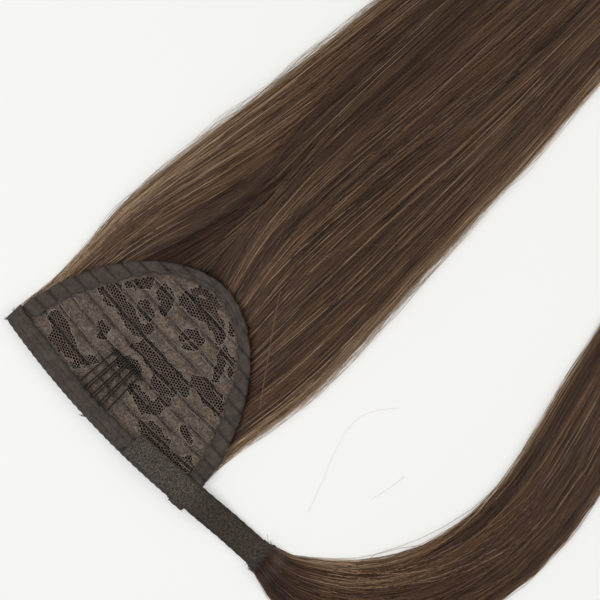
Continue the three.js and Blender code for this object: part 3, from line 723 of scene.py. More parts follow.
CELL = 1.18  # from hole to hole of the net
LONGER = 1.28  # the holes are pulled longer across the base
RING = CELL / math.sqrt(3)
THREAD_SHARE = 0.80  # size of a hole in its cell
HIDDEN_EDGE = 2.6  # how far the lace stays inside the base's edge
NET_TURN = math.radians(8)
NEAR = [(a, b) for a in (0, 1, -1) for b in (0, 1, -1)]
grid = np.arange(-90, 91)
gx, gy = np.meshgrid(grid, grid, indexing="ij")
flat_x = CELL * (gx + gy / 2)
flat_y = CELL * math.sqrt(3) / 2 * gy
cx = flat_x * math.cos(NET_TURN) - flat_y * math.sin(NET_TURN) + 40
cy = (flat_x * math.sin(NET_TURN) + flat_y * math.cos(NET_TURN)) * LONGER
keep = (cx > HIDDEN_EDGE) & (cx < DEPTH - HIDDEN_EDGE)
keep &= np.abs(cy) < half_inside(np.maximum(cx, 0), HIDDEN_EDGE)
cx, cy = cx[keep], cy[keep]
open_cell = (net_edge(cx, cy) < 0) & (half_inside(cx, tape_width(cx) + 0.5) > np.abs(cy)) & (cx > 10.5)
around_cell = NET_TURN + np.radians(30) + np.arange(6) * np.pi / 3
hex_x = cx[:, None] + RING * np.cos(around_cell)
hex_y = cy[:, None] + RING * np.sin(around_cell) * LONGER
# cells that meet share their corners, which are found again by their place on a fine grid
flat_points = {}
points, faces = [], []
rounded = np.stack([np.round(hex_x * 20), np.round(hex_y * 20)], -1).astype(int)
for cell in range(len(cx)):
    ring = []
    for k in range(6):
        spot = (int(rounded[cell, k, 0]), int(rounded[cell, k, 1]))
        known = [(spot[0] + a, spot[1] + b) for a, b in NEAR if (spot[0] + a, spot[1] + b) in flat_points]
        if not known:
            known = [spot]
            flat_points[spot] = len(points)
            points.append((hex_x[cell, k], hex_y[cell, k]))
        ring.append(flat_points[known[0]])
    if open_cell[cell]:
        hole = []
        for k in range(6):
            hole.append(len(points))
            px = cx[cell] + THREAD_SHARE * (hex_x[cell, k] - cx[cell])
            py = cy[cell] + THREAD_SHARE * (hex_y[cell, k] - cy[cell])
            points.append((px, py))
        for k in range(6):
            faces.append([ring[k], ring[(k + 1) % 6], hole[(k + 1) % 6], hole[k]])
    else:
        faces.append(ring)
points = np.array(points)
d, y = points[:, 0], points[:, 1]
edge = net_edge(d, y)
hidden = (half_inside(d, tape_width(d) + 0.1) < np.abs(y)) | (d < 9.6)
net_part = (edge < 0) & ~hidden
rim = np.exp(-((edge - 0.35) / 0.5) ** 2) * ~hidden
fold = np.exp(-(groove_at(d) / 0.75) ** 2) * (d > 8)
swell = 0.22 * np.sin(0.5 * d + 0.8 * np.sin(y / 5)) * np.sin(y / 3.1 + d / 7)
high = lace_under(d, y) + 0.55 + 0.20 * rim - 0.22 * net_part - 0.5 * fold * ~hidden + swell * ~hidden
off_tape = np.minimum(half_inside(d, tape_width(d) + 0.5) - np.abs(y), d - 9.6)
beside_tape = np.exp(-np.clip(off_tape, 0, None) / 1.3)
crinkle = 0.35 * np.sin(y / 2.3 + d) * step_up(half_inside(d, TAPE) - np.abs(y), 0, 4)
lace = mesh_piece("lace", np.stack([row_x(d + crinkle * 0.5, y), y, high], -1), faces, lace_cloth)
cloud = np.sin(0.42 * d + 1.1 * np.sin(y / 6.1)) * np.sin(y / 3.7 + 0.6 * np.sin(d / 5))
# the lace is darkened along the fold lines between the ribs, beside the binding and in soft blotches: painted
# shade
shaded = 0.30 * fold * ~hidden + 0.35 * beside_tape + 0.20 * step_up(cloud, -0.1, 0.7) * ~net_part
point_values(lace, "rim", rim * 0.25 + 0.16 * net_part)
point_values(lace, "darkening", shaded)
bpy.context.view_layer.objects.active = lace
lace.select_set(True)
bpy.ops.object.modifier_add(type="SOLIDIFY")
lace.modifiers["Solidify"].thickness = 0.45 * MM
lace.modifiers["Solidify"].offset = 0
bpy.ops.object.modifier_apply(modifier="Solidify")
bpy.ops.object.select_all(action="DESELECT")
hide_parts("lace_panel")

# Edge binding
# A soft tape folded over the curved edge, narrower round the crown. Every weft seam runs out over it, so it
# is quilted into small pillows along both sides; round the crown it only has creases along its length.
tape_cloth, tree, shader = new_material("tape_cloth", 0.85, 0.2)
place = add_node(tree, "TexCoord")
weave = add_node(tree, "TexNoise", {"Scale": 1900, "Detail": 2})
mottle = add_node(tree, "TexNoise", {"Scale": 260, "Detail": 4})
half_mottle = maths(tree, "MULTIPLY", {1: 0.5})
grain = maths(tree, "MULTIPLY_ADD", {1: 0.5})
darkening = read_value(tree, "darkening")
cloth = add_node(tree, "Group", group=darkened_cloth, values={
    "Low": 0.27, "High": 0.80, "Dark": (0.018, 0.014, 0.012, 1), "Light": (0.086, 0.069, 0.059, 1),
    "Darkening Colour": (0.014, 0.010, 0.009, 1)})
relief = add_node(tree, "Bump", {"Strength": 0.7, "Distance": 0.0004})
join(
    tree,
    (place, "Object", weave, "Vector"),
    (place, "Object", mottle, "Vector"),
    (mottle, "Fac", half_mottle, 0),
    (weave, "Fac", grain, 0),
    (half_mottle, "Value", grain, 2),
    (grain, "Value", cloth, "Grain"),
    (darkening, "Fac", cloth, "Darkening"),
    (cloth, "Color", shader, "Base Color"),
    (weave, "Fac", relief, "Height"),
    (relief, "Normal", shader, "Normal"),
)


def edge_point(angle):
    """The base's curved edge at an angle from its crown."""
    side = np.sign(angle) * np.abs(np.sin(angle)) ** (2 / POWER)
    return DEPTH * np.cos(angle) ** (2 / POWER), HALF * side


angle = np.linspace(-1, 1, 341) * math.acos((9.8 / DEPTH) ** (POWER / 2))
out_x, out_y = edge_point(angle)
back_x, back_y = edge_point(angle - 0.01)
ahead_x, ahead_y = edge_point(angle + 0.01)
inward = np.stack([-(ahead_y - back_y), ahead_x - back_x], -1)
inward /= np.linalg.norm(inward, axis=1, keepdims=True)
steep = np.abs(inward[:, 1])
# the tape's section: distance from the outer edge and height over the base, over it and back under it
over = [(8.6, 0.75), (8.4, 1.15), (7.5, 1.6), (6.5, 1.92), (5.9, 2.02), (5.4, 2.08), (4.9, 2.12), (4.2, 2.15),
        (3.4, 2.15), (2.9, 2.14), (2.5, 2.13), (2.1, 2.11), (1.5, 2.04), (0.9, 1.85), (0.25, 1.3), (0.0, 0.5)]
under = [(0.25, -0.4), (0.9, -1.0), (1.8, -1.25), (5.0, -1.3), (8.5, -1.3), (8.5, -0.35), (2.0, -0.3),
         (1.2, 0.4), (2.0, 1.2)]
rings, painted_shade = [], []
for inwards, height in over + under:
    uneven = (inwards > 7) * (0.32 * np.sin(angle * 37 + 1) + 0.26 * np.sin(angle * 83))
    reach = inwards * tape_width(out_x) / TAPE + uneven
    px = out_x + inward[:, 0] * reach
    py = out_y + inward[:, 1] * reach
    on_top = (inwards, height) in over
    groove = np.exp(-(groove_at(px) / 0.50) ** 2) * step_up(steep, 0.30, 0.62) * on_top
    puff = 0.55 * np.sin(np.pi * np.clip(inwards / TAPE, 0, 1)) ** 0.8 * on_top
    round_crown = (1 - step_up(steep, 0.45, 0.8)) * on_top
    tuck = 0.42 * np.exp(-((inwards - 5.4) / 0.45) ** 2) + 0.20 * np.exp(-((inwards - 2.5) / 0.4) ** 2)
    tuck = tuck * round_crown * (0.75 + 0.25 * np.sin(angle * 19 + inwards))
    wobble = 0.20 * np.sin(angle * 23 + inwards) + 0.16 * np.sin(angle * 57 + 1.4 * inwards)
    wobble = wobble + 0.12 * np.sin(angle * 131 + 1.1 * inwards + 3 * np.sin(angle * 17)) * (inwards > 1)
    pz = lace_bed(px, py) + height + (puff - 1.0 * groove - tuck + wobble) * on_top
    shrink = (0.35 * groove + 0.12 * np.sin(angle * 41)) * (inwards < 2)
    rings.append(np.stack([px + inward[:, 0] * shrink, py + inward[:, 1] * shrink, pz], -1))
    # the grooves and the crown creases are darkened too: painted shade
    painted_shade.append(np.clip(0.68 * groove + 0.6 * tuck / 0.38, 0, 1))
binding = skin_piece("binding", np.stack(rings, axis=1), tape_cloth, turned_over=True)
point_values(binding, "darkening", np.stack(painted_shade, 1))
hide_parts("edge_binding")

# Straight band
# The same tape, wider, folded over the straight edge and sewn through twice, which leaves ridges along it.
# Its end at the strap's corner is turned back and stands out as a small step.
TURNED_END = 8  # how far the end is turned back
across = np.concatenate([
    np.linspace(-HALF, -HALF + TURNED_END, 22),
    np.linspace(-HALF + TURNED_END + 0.3, HALF, 240),
])
over = [(9.7, 0.75), (9.4, 1.2), (8.8, 1.7), (8.0, 2.1), (7.1, 2.1), (6.6, 1.9), (6.0, 2.1), (5.0, 2.35),
        (4.1, 2.25), (3.6, 2.05), (3.0, 2.25), (2.1, 2.35), (1.2, 2.1), (0.45, 1.5), (0.05, 0.7)]
under = [(0.3, -0.4), (0.9, -1.0), (2.0, -1.3), (9.5, -1.3), (9.5, -0.35), (2.0, -0.3), (1.2, 0.4),
         (2.0, 1.2)]
bow = edge_x(across)
out = np.where(across < -HALF + TURNED_END + 0.1, 1.2, 0.0)
frayed_end = np.exp(-(HALF - across) / 0.8)
rings, painted_shade = [], []
for inwards, height in over + under:
    on_top = (inwards, height) in over
    ripple = 0.20 * np.sin(across * 0.71 + 0.8 * inwards) + 0.17 * np.sin(across * 1.9 + 1.1 * inwards)
    ripple += 0.08 * np.sin(across * 4.7 + 2 * np.sin(across * 0.4))
    px = bow + inwards - out * (inwards < 9.3) + 0.12 * np.sin(across * 1.7) * (inwards < 1.5)
    px = px + frayed_end * 0.7 * np.sin(9.0 * inwards) * (inwards < 1)
    pz = lace_bed(0 * across, across) + height + ripple * on_top * (1.0 if inwards > 0.4 else 0.4)
    rings.append(np.stack([px, across, pz], -1))
    # the two seam grooves and the step at the turned end are darkened: painted shade
    line_here = 0.55 if inwards in (6.6, 3.6) else 0.0
    faded = line_here * on_top * (0.5 + 0.5 * np.sin(across * 0.33 + inwards))
    step_line = np.abs(across + HALF - TURNED_END - 0.15) < 0.3
    painted_shade.append(faded + 0.6 * step_line * on_top)
band = skin_piece("straight_band", np.stack(rings, axis=1), tape_cloth, turned_over=True)
point_values(band, "darkening", np.stack(painted_shade, 1))
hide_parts("top_band")

# Seams of the base
# Dark machine stitches along every groove between two wefts, and along the edges of the band. At the band's
# ends the tapes are frayed.
sewing_thread, tree, shader = new_material("sewing_thread", 0.6, 0.5)
tone = read_value(tree, "tone")
thread_tone = add_node(tree, "Mix", {"A": (0.012, 0.009, 0.008, 1), "B": (0.15, 0.125, 0.105, 1)})
join(tree, (tone, "Fac", thread_tone, "Factor"), (thread_tone, "Result", shader, "Base Color"))

rng = np.random.default_rng(5)
paths, tones = [], []
for k in range(10):
    at = FIRST_WEFT + (k + 0.5) * WEFT_PITCH
    reach = float(half_inside(np.array(at), 0.9))
    if at > DEPTH - 9.0:
        break
    for begin in np.arange(-reach, reach - 2.0, 2.35):
        y = begin + np.linspace(0, 2.15, 5)
        d = at + rng.normal(0, 0.09) + 0.18 * np.sin(begin / 7 + k)
        if (half_inside(np.array(at), tape_width(at) - 0.3) < np.abs(y)).any():
            continue
        z = lace_under(d, y) + 0.62
        z = z + np.array([-0.25, 0.02, 0.06, 0.02, -0.25])
        paths.append(np.stack([row_x(d, y), y, z], -1))
        tones.append(np.full(5, rng.uniform(0.0, 0.10)))
for inwards, rise in ((8.7, 1.75), (0.9, 2.0)):
    for begin in np.arange(-HALF + 9, HALF - 9, 2.4):
        y = begin + np.linspace(0, 1.9, 5)
        z = lace_bed(0 * y, y) + rise + 0.12 + np.array([-0.3, 0, 0.03, 0, -0.3])
        paths.append(np.stack([edge_x(y) + inwards + rng.normal(0, 0.05), y, z], -1))
        tones.append(np.full(5, rng.uniform(0.2, 0.5)))
corners = [(0.4, HALF), (4.5, HALF), (-4.2, 3.4), (-1.3, -HALF + TURNED_END + 0.2)]
for _ in range(26):
    corner_x, corner_y = corners[rng.integers(4)]
    reach = rng.uniform(-1.6, 1.6, 2)
    along = np.linspace(0, 1, 5)
    fray_x = corner_x + rng.uniform(-0.6, 0.6) + reach[0] * along
    fray_y = corner_y - 0.5 + reach[1] * along
    fray_z = lace_bed(0, corner_y) + rng.uniform(0.2, 1.8) + 0.3 * np.sin(3 * along)
    paths.append(np.stack([fray_x, fray_y, fray_z], -1))
    tones.append(np.full(5, rng.uniform(0.2, 0.6)))
stitches = thin_tubes("base_stitches", np.array(paths), np.full((len(paths), 5), 0.2), np.array(tones),
                      sewing_thread)

# Lace cords
# A thicker light thread runs round every petal where it meets the net. It is laid here in short pieces, end
# to end, on the edge of every patch of net.
lace_thread = sewing_thread.copy()
lace_thread.name = "lace_thread"
lace_thread.node_tree.nodes["Mix"].inputs["A"].default_value = (0.06, 0.046, 0.037, 1)
lace_thread.node_tree.nodes["Mix"].inputs["B"].default_value = (0.34, 0.28, 0.235, 1)
spots = np.arange(10, DEPTH - 8, 0.62), np.arange(-54, 54, 0.62)
spot_x, spot_y = np.meshgrid(*spots, indexing="ij")
spot_x, spot_y = spot_x.ravel(), spot_y.ravel()
near = np.abs(net_edge(spot_x, spot_y)) < 0.42
spot_x, spot_y = spot_x[near], spot_y[near]
for _ in range(3):
    value = net_edge(spot_x, spot_y)
    slope_x = (net_edge(spot_x + 0.05, spot_y) - net_edge(spot_x - 0.05, spot_y)) / 0.1
    slope_y = (net_edge(spot_x, spot_y + 0.05) - net_edge(spot_x, spot_y - 0.05)) / 0.1
    steepness = slope_x ** 2 + slope_y ** 2 + 0.2
    spot_x = spot_x - value * slope_x / steepness
    spot_y = spot_y - value * slope_y / steepness
inside_lace = (half_inside(spot_x, tape_width(spot_x) + 0.7) > np.abs(spot_y)) & (spot_x > 10.2)
spot_x, spot_y = spot_x[inside_lace], spot_y[inside_lace]
length = np.hypot(slope_x, slope_y)[inside_lace] + 1e-6
way_x, way_y = -slope_y[inside_lace] / length, slope_x[inside_lace] / length
along = np.array([-0.55, 0.0, 0.55])
cord_x = spot_x[:, None] + way_x[:, None] * along
cord_y = spot_y[:, None] + way_y[:, None] * along
cord_z = lace_under(cord_x, cord_y) + 0.86 + np.array([-0.12, 0.0, -0.12])
flat_paths = np.stack([row_x(cord_x, cord_y), cord_y, cord_z], -1)
cord_tone = np.repeat(rng.uniform(0.15, 0.9, len(spot_x))[:, None], 3, 1)
cords = thin_tubes("lace_cords", flat_paths, np.full(cord_x.shape, 0.17), cord_tone, lace_thread)

# Lace flowers
# The closed ground is knitted in flowers, whose petals have a thin raised outline or a vein. The lace is also
# pinched up into a thin lighter fold on both sides of each row of stitches.
FLOWER_PITCH = 8.4
paths, tones = [], []
round_petal = np.radians(np.linspace(-140, 140, 9))
for flower_x in np.arange(14, DEPTH - 8, FLOWER_PITCH):
    for flower_y in np.arange(-52, 54, FLOWER_PITCH):
        mid_x = flower_x + rng.uniform(-2.5, 2.5)
        mid_y = flower_y + rng.uniform(-2.5, 2.5)
        first = rng.uniform(0, 2 * np.pi)
        for petal in range(5):
            turn = first + petal * 2 * np.pi / 5
            size = rng.uniform(1.5, 2.2)
            local_x = size * 1.5 + size * 1.25 * np.cos(round_petal)
            local_y = size * np.sin(round_petal)
            if petal % 2 == 0:
                local_x = np.linspace(0.8, size * 2.3, 9)
                local_y = 0.35 * np.sin(local_x)
            petal_x = mid_x + local_x * np.cos(turn) - local_y * np.sin(turn)
            petal_y = mid_y + local_x * np.sin(turn) + local_y * np.cos(turn)
            off = (net_edge(petal_x, petal_y) < 0.2) | (petal_x < 10.4)
            off |= half_inside(petal_x, tape_width(petal_x) + 0.9) < np.abs(petal_y)
            if off.any():
                continue
            petal_z = lace_under(petal_x, petal_y) + 0.83
            paths.append(np.stack([row_x(petal_x, petal_y), petal_y, petal_z], -1))
            tones.append(np.full(9, rng.uniform(0.0, 0.55)))
flowers = thin_tubes("lace_flowers", np.array(paths), np.full((len(paths), 9), 0.15), np.array(tones),
                     lace_thread)

paths, tones = [], []
for k in range(20):
    at = FIRST_WEFT + (k // 2 + 0.5) * WEFT_PITCH + (0.95, -1.15)[k % 2]
    reach = float(half_inside(np.array(at), tape_width(at) + 0.5))
    begin = -reach
    while at < DEPTH - 9.5 and begin < reach - 4:
        run = min(rng.uniform(5, 17), reach - begin)
        y = begin + run * np.linspace(0, 1, 14)
        d = at + 0.16 * np.sin(y / 2.9 + k) + rng.normal(0, 0.1)
        z = lace_under(d, y) + 0.84 + 0.12 * np.sin(y / 1.7)
        z = z - 0.35 * (1 - np.sin(np.pi * np.linspace(0, 1, 14))) ** 3
        paths.append(np.stack([row_x(d, y), y, z], -1))
        tones.append(np.full(14, rng.uniform(0.05, 0.5)))
        begin += run + rng.choice([0.5, 3.0, 9.0])
folds = thin_tubes("lace_folds", np.array(paths), np.full((len(paths), 14), 0.17), np.array(tones),
                   lace_thread, sides=4)

# Comb
# Dark coated spring wire, bent into five hairpin teeth, with a thinner wire wound round its back.
# It keeps the shape of the frame. Thread loops sew its back to the lace.
steel, _, shader = new_material("dark_wire", 0.5, 0.12)
shader.inputs["Base Color"].default_value = (0.009, 0.007, 0.006, 1)
nodes["comb"].data.materials.clear()
nodes["comb"].data.materials.append(steel)
comb_low, comb_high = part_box("comb")
spine_x = comb_high.x / MM - 1.7
spine_z = comb_high.z / MM - 1.0
paths = []
for at in np.linspace(comb_low.y / MM + 1.2, comb_high.y / MM - 1.2, 17):
    lean = rng.uniform(-0.7, 0.7)
    angle = np.linspace(-0.35 * np.pi, 1.35 * np.pi, 9)
    paths.append(np.stack([spine_x + 1.35 * np.cos(angle), at + lean * np.linspace(-0.5, 0.5, 9),
                           spine_z + 1.25 * np.sin(angle) - 0.1], -1))
for at in (6, 7, 8, 1, 13):
    along = np.linspace(0, 1, 9)
    loop_x = spine_x + rng.uniform(-2.2, 2.4) + 1.8 * along
    loop_y = at + 3.5 * (along - 0.5) * rng.choice([-1, 1])
    paths.append(np.stack([loop_x, loop_y, spine_z - 0.7 + 0.9 * np.sin(np.pi * along)], -1))
loops = thin_tubes("comb_threads", np.array(paths), np.full((len(paths), 9), 0.14),
                   rng.uniform(0.05, 0.3, (len(paths), 1)) * np.ones(9), sewing_thread, sides=4)

# Strap
# Woven tape with a fuzzy looped face, sewn over the band and running free past the corner to the wrap lock.
# Where it runs free it slants a little and is darker.
strap_pile, tree, shader = new_material("strap_pile", 0.9, 0.15)
place = add_node(tree, "TexCoord")
loop_noise = add_node(tree, "TexNoise", {"Scale": 1500, "Detail": 3})
strap_darkening = read_value(tree, "darkening")
cloth = add_node(tree, "Group", group=darkened_cloth, values={
    "Low": 0.36, "High": 0.64, "Dark": (0.020, 0.016, 0.013, 1), "Light": (0.110, 0.092, 0.078, 1),
    "Darkening Colour": (0.024, 0.016, 0.012, 1)})
relief = add_node(tree, "Bump", {"Strength": 1.0, "Distance": 0.0008})
join(
    tree,
    (place, "Object", loop_noise, "Vector"),
    (loop_noise, "Fac", cloth, "Grain"),
    (strap_darkening, "Fac", cloth, "Darkening"),
    (cloth, "Color", shader, "Base Color"),
    (loop_noise, "Fac", relief, "Height"),
    (relief, "Normal", shader, "Normal"),
)

STRAP_SEWN = 39  # length on the band
STRAP_FREE = 43
STRAP_SLANT = math.radians(5.5)
way = np.array([math.sin(STRAP_SLANT), -math.cos(STRAP_SLANT)])


def strap_middle(s):
    """Middle of the strap's underside at s millimetres from its sewn end, and its turn."""
    lapped = np.minimum(s, STRAP_SEWN)
    free = s - lapped
    y = -HALF + STRAP_SEWN - lapped
    x = edge_x(y) + 7.75
    high = lace_bed(0 * y, y) + 2.6
    z = high + (1.3 - high) * step_up(free / STRAP_FREE, 0, 0.55)
    turn = STRAP_SLANT * step_up(s, STRAP_SEWN - 3, STRAP_SEWN + 3)
    return x + way[0] * free, y + way[1] * free, z, turn


rng = np.random.default_rng(31)
s = np.linspace(0, 81.6, 150)
sx, sy, sz, turn = strap_middle(s)
section = [(-6.7, 0.15), (-6.75, 0.8), (-6.4, 1.35)]
section += [(a, 1.5) for a in np.linspace(-5.6, 5.6, 12)]
section += [(6.4, 1.35), (6.75, 0.8), (6.7, 0.15), (5, 0.0), (0, 0.0), (-5, 0.0)]
ring = []
for a, h in section:
    rough = rng.normal(0, 0.10, len(s)) * (h > 0.5)
    side = a + (0.10 * np.sin(s * 1.3) + rng.normal(0, 0.05, len(s))) * (abs(a) > 6)
    ring.append(np.stack([sx + side * np.cos(turn), sy + side * np.sin(turn), sz + h + rough], -1))
strap = skin_piece("strap_tape", np.stack(ring, axis=1), strap_pile)
side_dark = np.array([0.35 * step_up(abs(a), 4.8, 6.4) for a, _ in section])
point_values(strap, "darkening", np.clip(0.50 * step_up(s, 30, 48)[:, None] + side_dark, 0, 0.65))
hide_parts("strap")

count = 2700
s = rng.uniform(0.3, 74.5, count)
a = rng.uniform(-6.7, 6.7, count)
sx, sy, sz, turn = strap_middle(s)
root = np.stack([sx + a * np.cos(turn), sy + a * np.sin(turn), sz + 1.45], -1)
head = rng.uniform(0, 2 * np.pi, count)
reach = rng.uniform(0.3, 0.75, count)
along = np.linspace(0, 1, 5)
bulge = np.sin(np.pi * along) * 0.42
loop = np.stack([np.cos(head)[:, None] * reach[:, None] * (along - 0.5),
                 np.sin(head)[:, None] * reach[:, None] * (along - 0.5),
                 np.broadcast_to(bulge - 0.08, (count, 5)) * rng.uniform(0.5, 1.1, count)[:, None]], -1)
tones = rng.uniform(0.1, 0.85, count) * (1 - 0.5 * step_up(s, 30, 48))
tones = np.repeat(tones[:, None], 5, 1)
pile = thin_tubes("strap_pile", root[:, None] + loop, np.full((count, 5), 0.075), tones, sewing_thread)

# Lock seam
# A tape folded and sewn over the strap's end, frayed, with coarse stitches through the hair.
end_x, end_y, _, _ = strap_middle(np.array([STRAP_SEWN + STRAP_FREE]))
side_way = np.array([math.cos(STRAP_SLANT), math.sin(STRAP_SLANT)])


def at_end(ahead, aside):
    """A point in plan, ahead of the strap's end and aside from its middle."""
    return (end_x + way[0] * ahead + side_way[0] * aside,
            end_y + way[1] * ahead + side_way[1] * aside)


u = np.linspace(-8.3, 8.3, 60)
section = [(6.6, 1.4), (6.4, 2.5), (5.6, 2.95), (4.3, 3.1), (3.0, 3.3), (1.8, 3.4), (1.1, 3.2), (0.4, 2.6),
           (0.0, 1.6), (0.4, 0.7), (1.6, 0.2), (4.0, 0.05), (7.0, 0.05)]
ring = []
for inwards, height in section:
    rag = rng.normal(0, 0.22, len(u)) * (inwards > 6.5) + 0.25 * np.sin(u * 1.1 + inwards)
    rise = (0.20 * np.sin(u * 1.9 + inwards * 2) + rng.normal(0, 0.07, len(u))) * (height > 1)
    slim = 0.98 - 0.15 * step_up(inwards, 1.5, 4.5)
    px, py = at_end(2.1 - inwards + rag, u * slim)
    ring.append(np.stack([px, py, np.maximum(height + rise, 0.03)], -1))
seam = skin_piece("seam_tape", np.stack(ring, axis=1), strap_pile)
dark_edge = [0.45 + 0.3 * step_up(-inwards, -2.5, 0) for inwards, _ in section]
point_values(seam, "darkening", np.tile(dark_edge, len(u)))
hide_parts("lock_seam")

paths, tones, radii = [], [], []
for k in range(34):
    at = -7.8 + 15.6 * k / 33 + rng.normal(0, 0.15)
    along = np.linspace(0, 1, 8)
    ahead = 2.4 - 5.2 * along
    lean = rng.normal(0, 0.8)
    round_over = np.sin(np.pi * np.clip(along * 0.9 + 0.1, 0, 1)) ** 0.35
    arch = 3.6 + 0.1 * np.sin(3 * at) - 1.9 * (1 - round_over)
    px, py = at_end(ahead, at + lean * (along - 0.5))
    paths.append(np.stack([px, py, arch], -1))
    tones.append(np.full(8, rng.uniform(0.0, 0.25)))
    radii.append(np.full(8, 0.16))
for k in range(40):
    at = rng.uniform(-8.4, 8.4)
    outward = np.sign(at) * rng.uniform(0.2, 2.2) * (rng.random() < 0.6)
    along = np.linspace(0, 1, 8)
    ahead = rng.uniform(-4.5, 1.5) + rng.normal(0, 1.4) * along
    px, py = at_end(ahead, at + outward * along)
    pz = 3.3 + rng.uniform(0.1, 0.9) * np.sin(np.pi * along) - 1.2 * along * (outward != 0)
    paths.append(np.stack([px, py, pz], -1))
    tones.append(np.full(8, rng.uniform(0.0, 0.4)))
    radii.append(np.full(8, 0.09))
ties = thin_tubes("seam_threads", np.array(paths), np.array(radii), np.array(tones), sewing_thread)

# Wrap lock
# The lock that is wound round a tied tail: its hair is gathered in the seam, spreads and bends round.
# One streaked mass, dark to paint the shade under the strands, and the strands over it, as on the tail.
LOCK_LENGTH = 298
LOCK_HALF = 21.5
LOCK_LOFT = 9.0
LOCK_AT = [0, .06, .16, .24, .32, .4, .48, .57, .7, .85, 1]
LOCK_HEADS = [-83.7, -69, -49, -29, -14, -4, 6, 15, 19, 23, 26]  # the way it points, in degrees
LOCK_WIDTHS = [.36, .70, .92, .97, 1, 1, 1, .99, .95, .73, .3]
LOCK_LOFTS = [.42, .55, .8, .92, 1, 1, .98, .92, .8, .58, .28]
heading = np.radians(smooth_curve(LOCK_AT, LOCK_HEADS, (np.arange(60) + 0.5) / 60))
first_point = np.array([end_x[0] + way[0] * 2.4, end_y[0] + way[1] * 2.4])
steps_xy = np.stack([np.cos(heading), np.sin(heading)], -1) * LOCK_LENGTH / 60
axis = np.concatenate([[first_point], first_point + np.cumsum(steps_xy, axis=0)])


def lock_place(share, offset):
    """Point in plan at a share of the lock's length and an offset to its left."""
    at = np.clip(share, 0, 1) * 60
    x = np.interp(at, np.arange(61), axis[:, 0])
    y = np.interp(at, np.arange(61), axis[:, 1])
    turn = np.radians(smooth_curve(LOCK_AT, LOCK_HEADS, np.clip(share, 0, 1)))
    # it sags a little outwards in its bend and inwards where it runs straight
    offset = offset - 2.7 * step_up(share, 0.0, 0.05) * (1 - step_up(share, 0.10, 0.24))
    offset = offset + 0.8 * step_up(share, 0.42, 0.56)
    return x - np.sin(turn) * offset, y + np.cos(turn) * offset


def wrap_relief(part, share):
    """Soft ridges along the lock, about -1 to 1."""
    wave = np.sin(6.3 * part + 1.1 * np.sin(share * 7 + 1))
    wave += 0.7 * np.sin(14.1 * part + 2 * np.sin(share * 9))
    return wave / 1.7


share = np.linspace(0.0, 0.955, 70)[:, None]
part = np.linspace(-1, 1, 60)[None]
half = LOCK_HALF * smooth_curve(LOCK_AT, LOCK_WIDTHS, share)
loft = LOCK_LOFT * smooth_curve(LOCK_AT, LOCK_LOFTS, share)
px, py = lock_place(share + 0 * part, part * (half - 1.6))
fall = 1 - 0.5 * np.abs(part) ** 3
rim = np.clip(1 - np.abs(part) ** 12, 0, 1) ** 0.5
pz = 0.9 + (loft * fall - 2.3 + 0.6 * wrap_relief(part, share)) * np.maximum(rim, 0.04)
top = np.stack([px, py, np.maximum(pz, 0.6)], -1)
bottom = np.stack([px, py, np.full_like(px, 0.3)], -1)
ring = np.concatenate([top, bottom[:, ::-1]], axis=1)
lock_mass = skin_piece("lock_mass", ring, hair_mass, turned_over=True, split_ends=True)
part, share = np.broadcast_arrays(part, share)
part_round = np.concatenate([part, part[:, ::-1]], axis=1)
share_round = np.concatenate([share, share], axis=1)
streak_map(lock_mass, part_round * 0.021, share_round * 2.98)
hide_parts("wrap_lock")

count = 2150
rng = np.random.default_rng(47)
home = rng.uniform(-1, 1, count)
# its hairs gather into small locks too
locks = 22
lock_line = np.sort(rng.uniform(-1, 1, locks))
nearest = np.abs(home[:, None] - lock_line).argmin(1)
gather = rng.uniform(0.0, 0.5, locks)[nearest]
lock_tone = rng.normal(0, 0.035, locks)[nearest]
lock_phase = rng.uniform(0, 6.28, locks)[nearest]
tip = 1 - 0.09 * rng.random(count) ** 1.5
share_along = np.array([0, .03, .065, .105, .15, .20, .25, .305, .365, .43, .51, .60, .72, .85, 1.0])
share = tip[:, None] * share_along
pull = gather[:, None] * (0.5 + 0.5 * np.sin(share * 11 + lock_phase[:, None])) * step_up(share, 0.05, 0.3)
wander = rng.normal(0, 1, count) * np.where(rng.random(count) < 0.18, 0.20, 0.04)
part = home[:, None] + (lock_line[nearest][:, None] - home[:, None]) * pull
waves = rng.uniform(5, 11, count)[:, None]
part = part + wander[:, None] * np.sin(share * waves + rng.uniform(0, 6, count)[:, None])
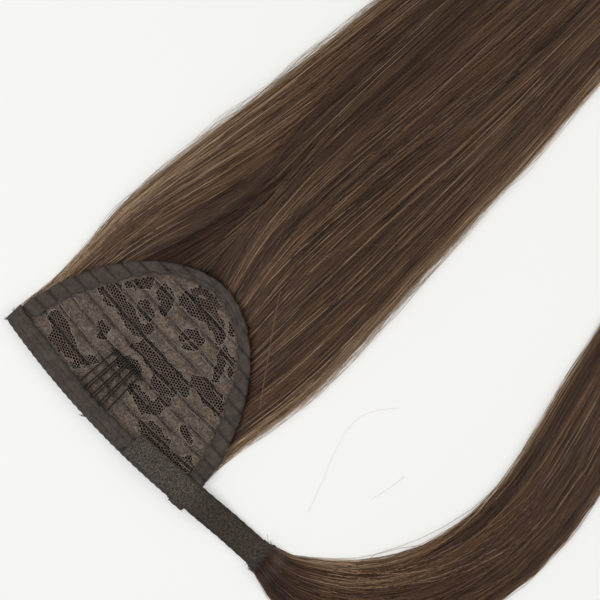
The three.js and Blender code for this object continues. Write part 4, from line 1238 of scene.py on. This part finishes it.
# some drift across to the inner side of the bend
drifts = (rng.random(count) < 0.20) * rng.uniform(0.4, 0.9, count) * (home > 0.0)
part = part - drifts[:, None] * step_up(share, 0.08, 0.58)
part = np.clip(part, -1, 1)
half = LOCK_HALF * smooth_curve(LOCK_AT, LOCK_WIDTHS, share)
loft = LOCK_LOFT * smooth_curve(LOCK_AT, LOCK_LOFTS, share)
at_side = step_up(np.abs(part), 0.86, 1)
loose = rng.normal(0, 0.7, count) + np.sign(home) * 2.4 * rng.random(count) * (rng.random(count) < 0.12)
fray = loose[:, None] * np.sin(share * rng.uniform(6, 14, count)[:, None]) * at_side
px, py = lock_place(share, part * (half - 0.8) + fray)
depth = rng.random(count)[:, None] ** 1.4
sunk = 2.0 * (0.7 * depth + 0.15 + 0.15 * np.sin(share * 9 + rng.uniform(0, 6.28, count)[:, None]))
side = step_up(np.abs(part), 0.9, 1.0)
down = rng.random(count)[:, None]
pz = loft * (1 - 0.5 * np.abs(part) ** 3) + 0.6 * wrap_relief(part, share) - sunk - 0.4
pz = np.clip(pz * (1 - side * down * 0.92), 0.25, None)
near_seam = 1 - step_up(share, 0.0, 0.03)
pz = pz * (1 - near_seam) + near_seam * np.clip(1.0 + 1.9 * (1 - depth), 0.3, None)
px[:, 0], py[:, 0] = at_end(0.5, part[:, 0] * 7.6)
pz[:, 0] = 0.6 + 3.0 * (1 - depth[:, 0])
pick = rng.random(count)[:, None]
tone = 0.305 + lock_tone[:, None] + rng.normal(0, 0.14, count)[:, None]
tone = tone + 0.26 * (pick < 0.12) - 0.16 * (pick > 0.80) + 0.14 * (drifts[:, None] > 0)
# deeper hairs darker: painted shade; the sides lighter: painted light through thin hair over the table
tone = tone - 0.30 * (sunk / 2 - 0.35) + 0.50 * at_side * (0.6 + 0.4 * down)
tone = tone - 0.22 * (1 - step_up(share, 0.01, 0.12))
# lighter on the inner side of the bend: painted highlight
bend_highlight = step_up(share, 0.02, 0.08) * (1 - step_up(share, 0.24, 0.45))
tone = tone + 0.15 * step_up(part, 0.1, 0.8) * bend_highlight
taper = 1 - 0.75 * step_up(share, tip[:, None] - 0.15, tip[:, None])
radii = STRAND * rng.uniform(0.8, 1.3, count)[:, None] * taper * (1 - 0.25 * (pick < 0.12))
paths = np.stack([px, py, pz], -1)
lock_strands = thin_tubes("lock_strands", paths, radii, np.clip(tone, 0.02, 1), hair_strand)
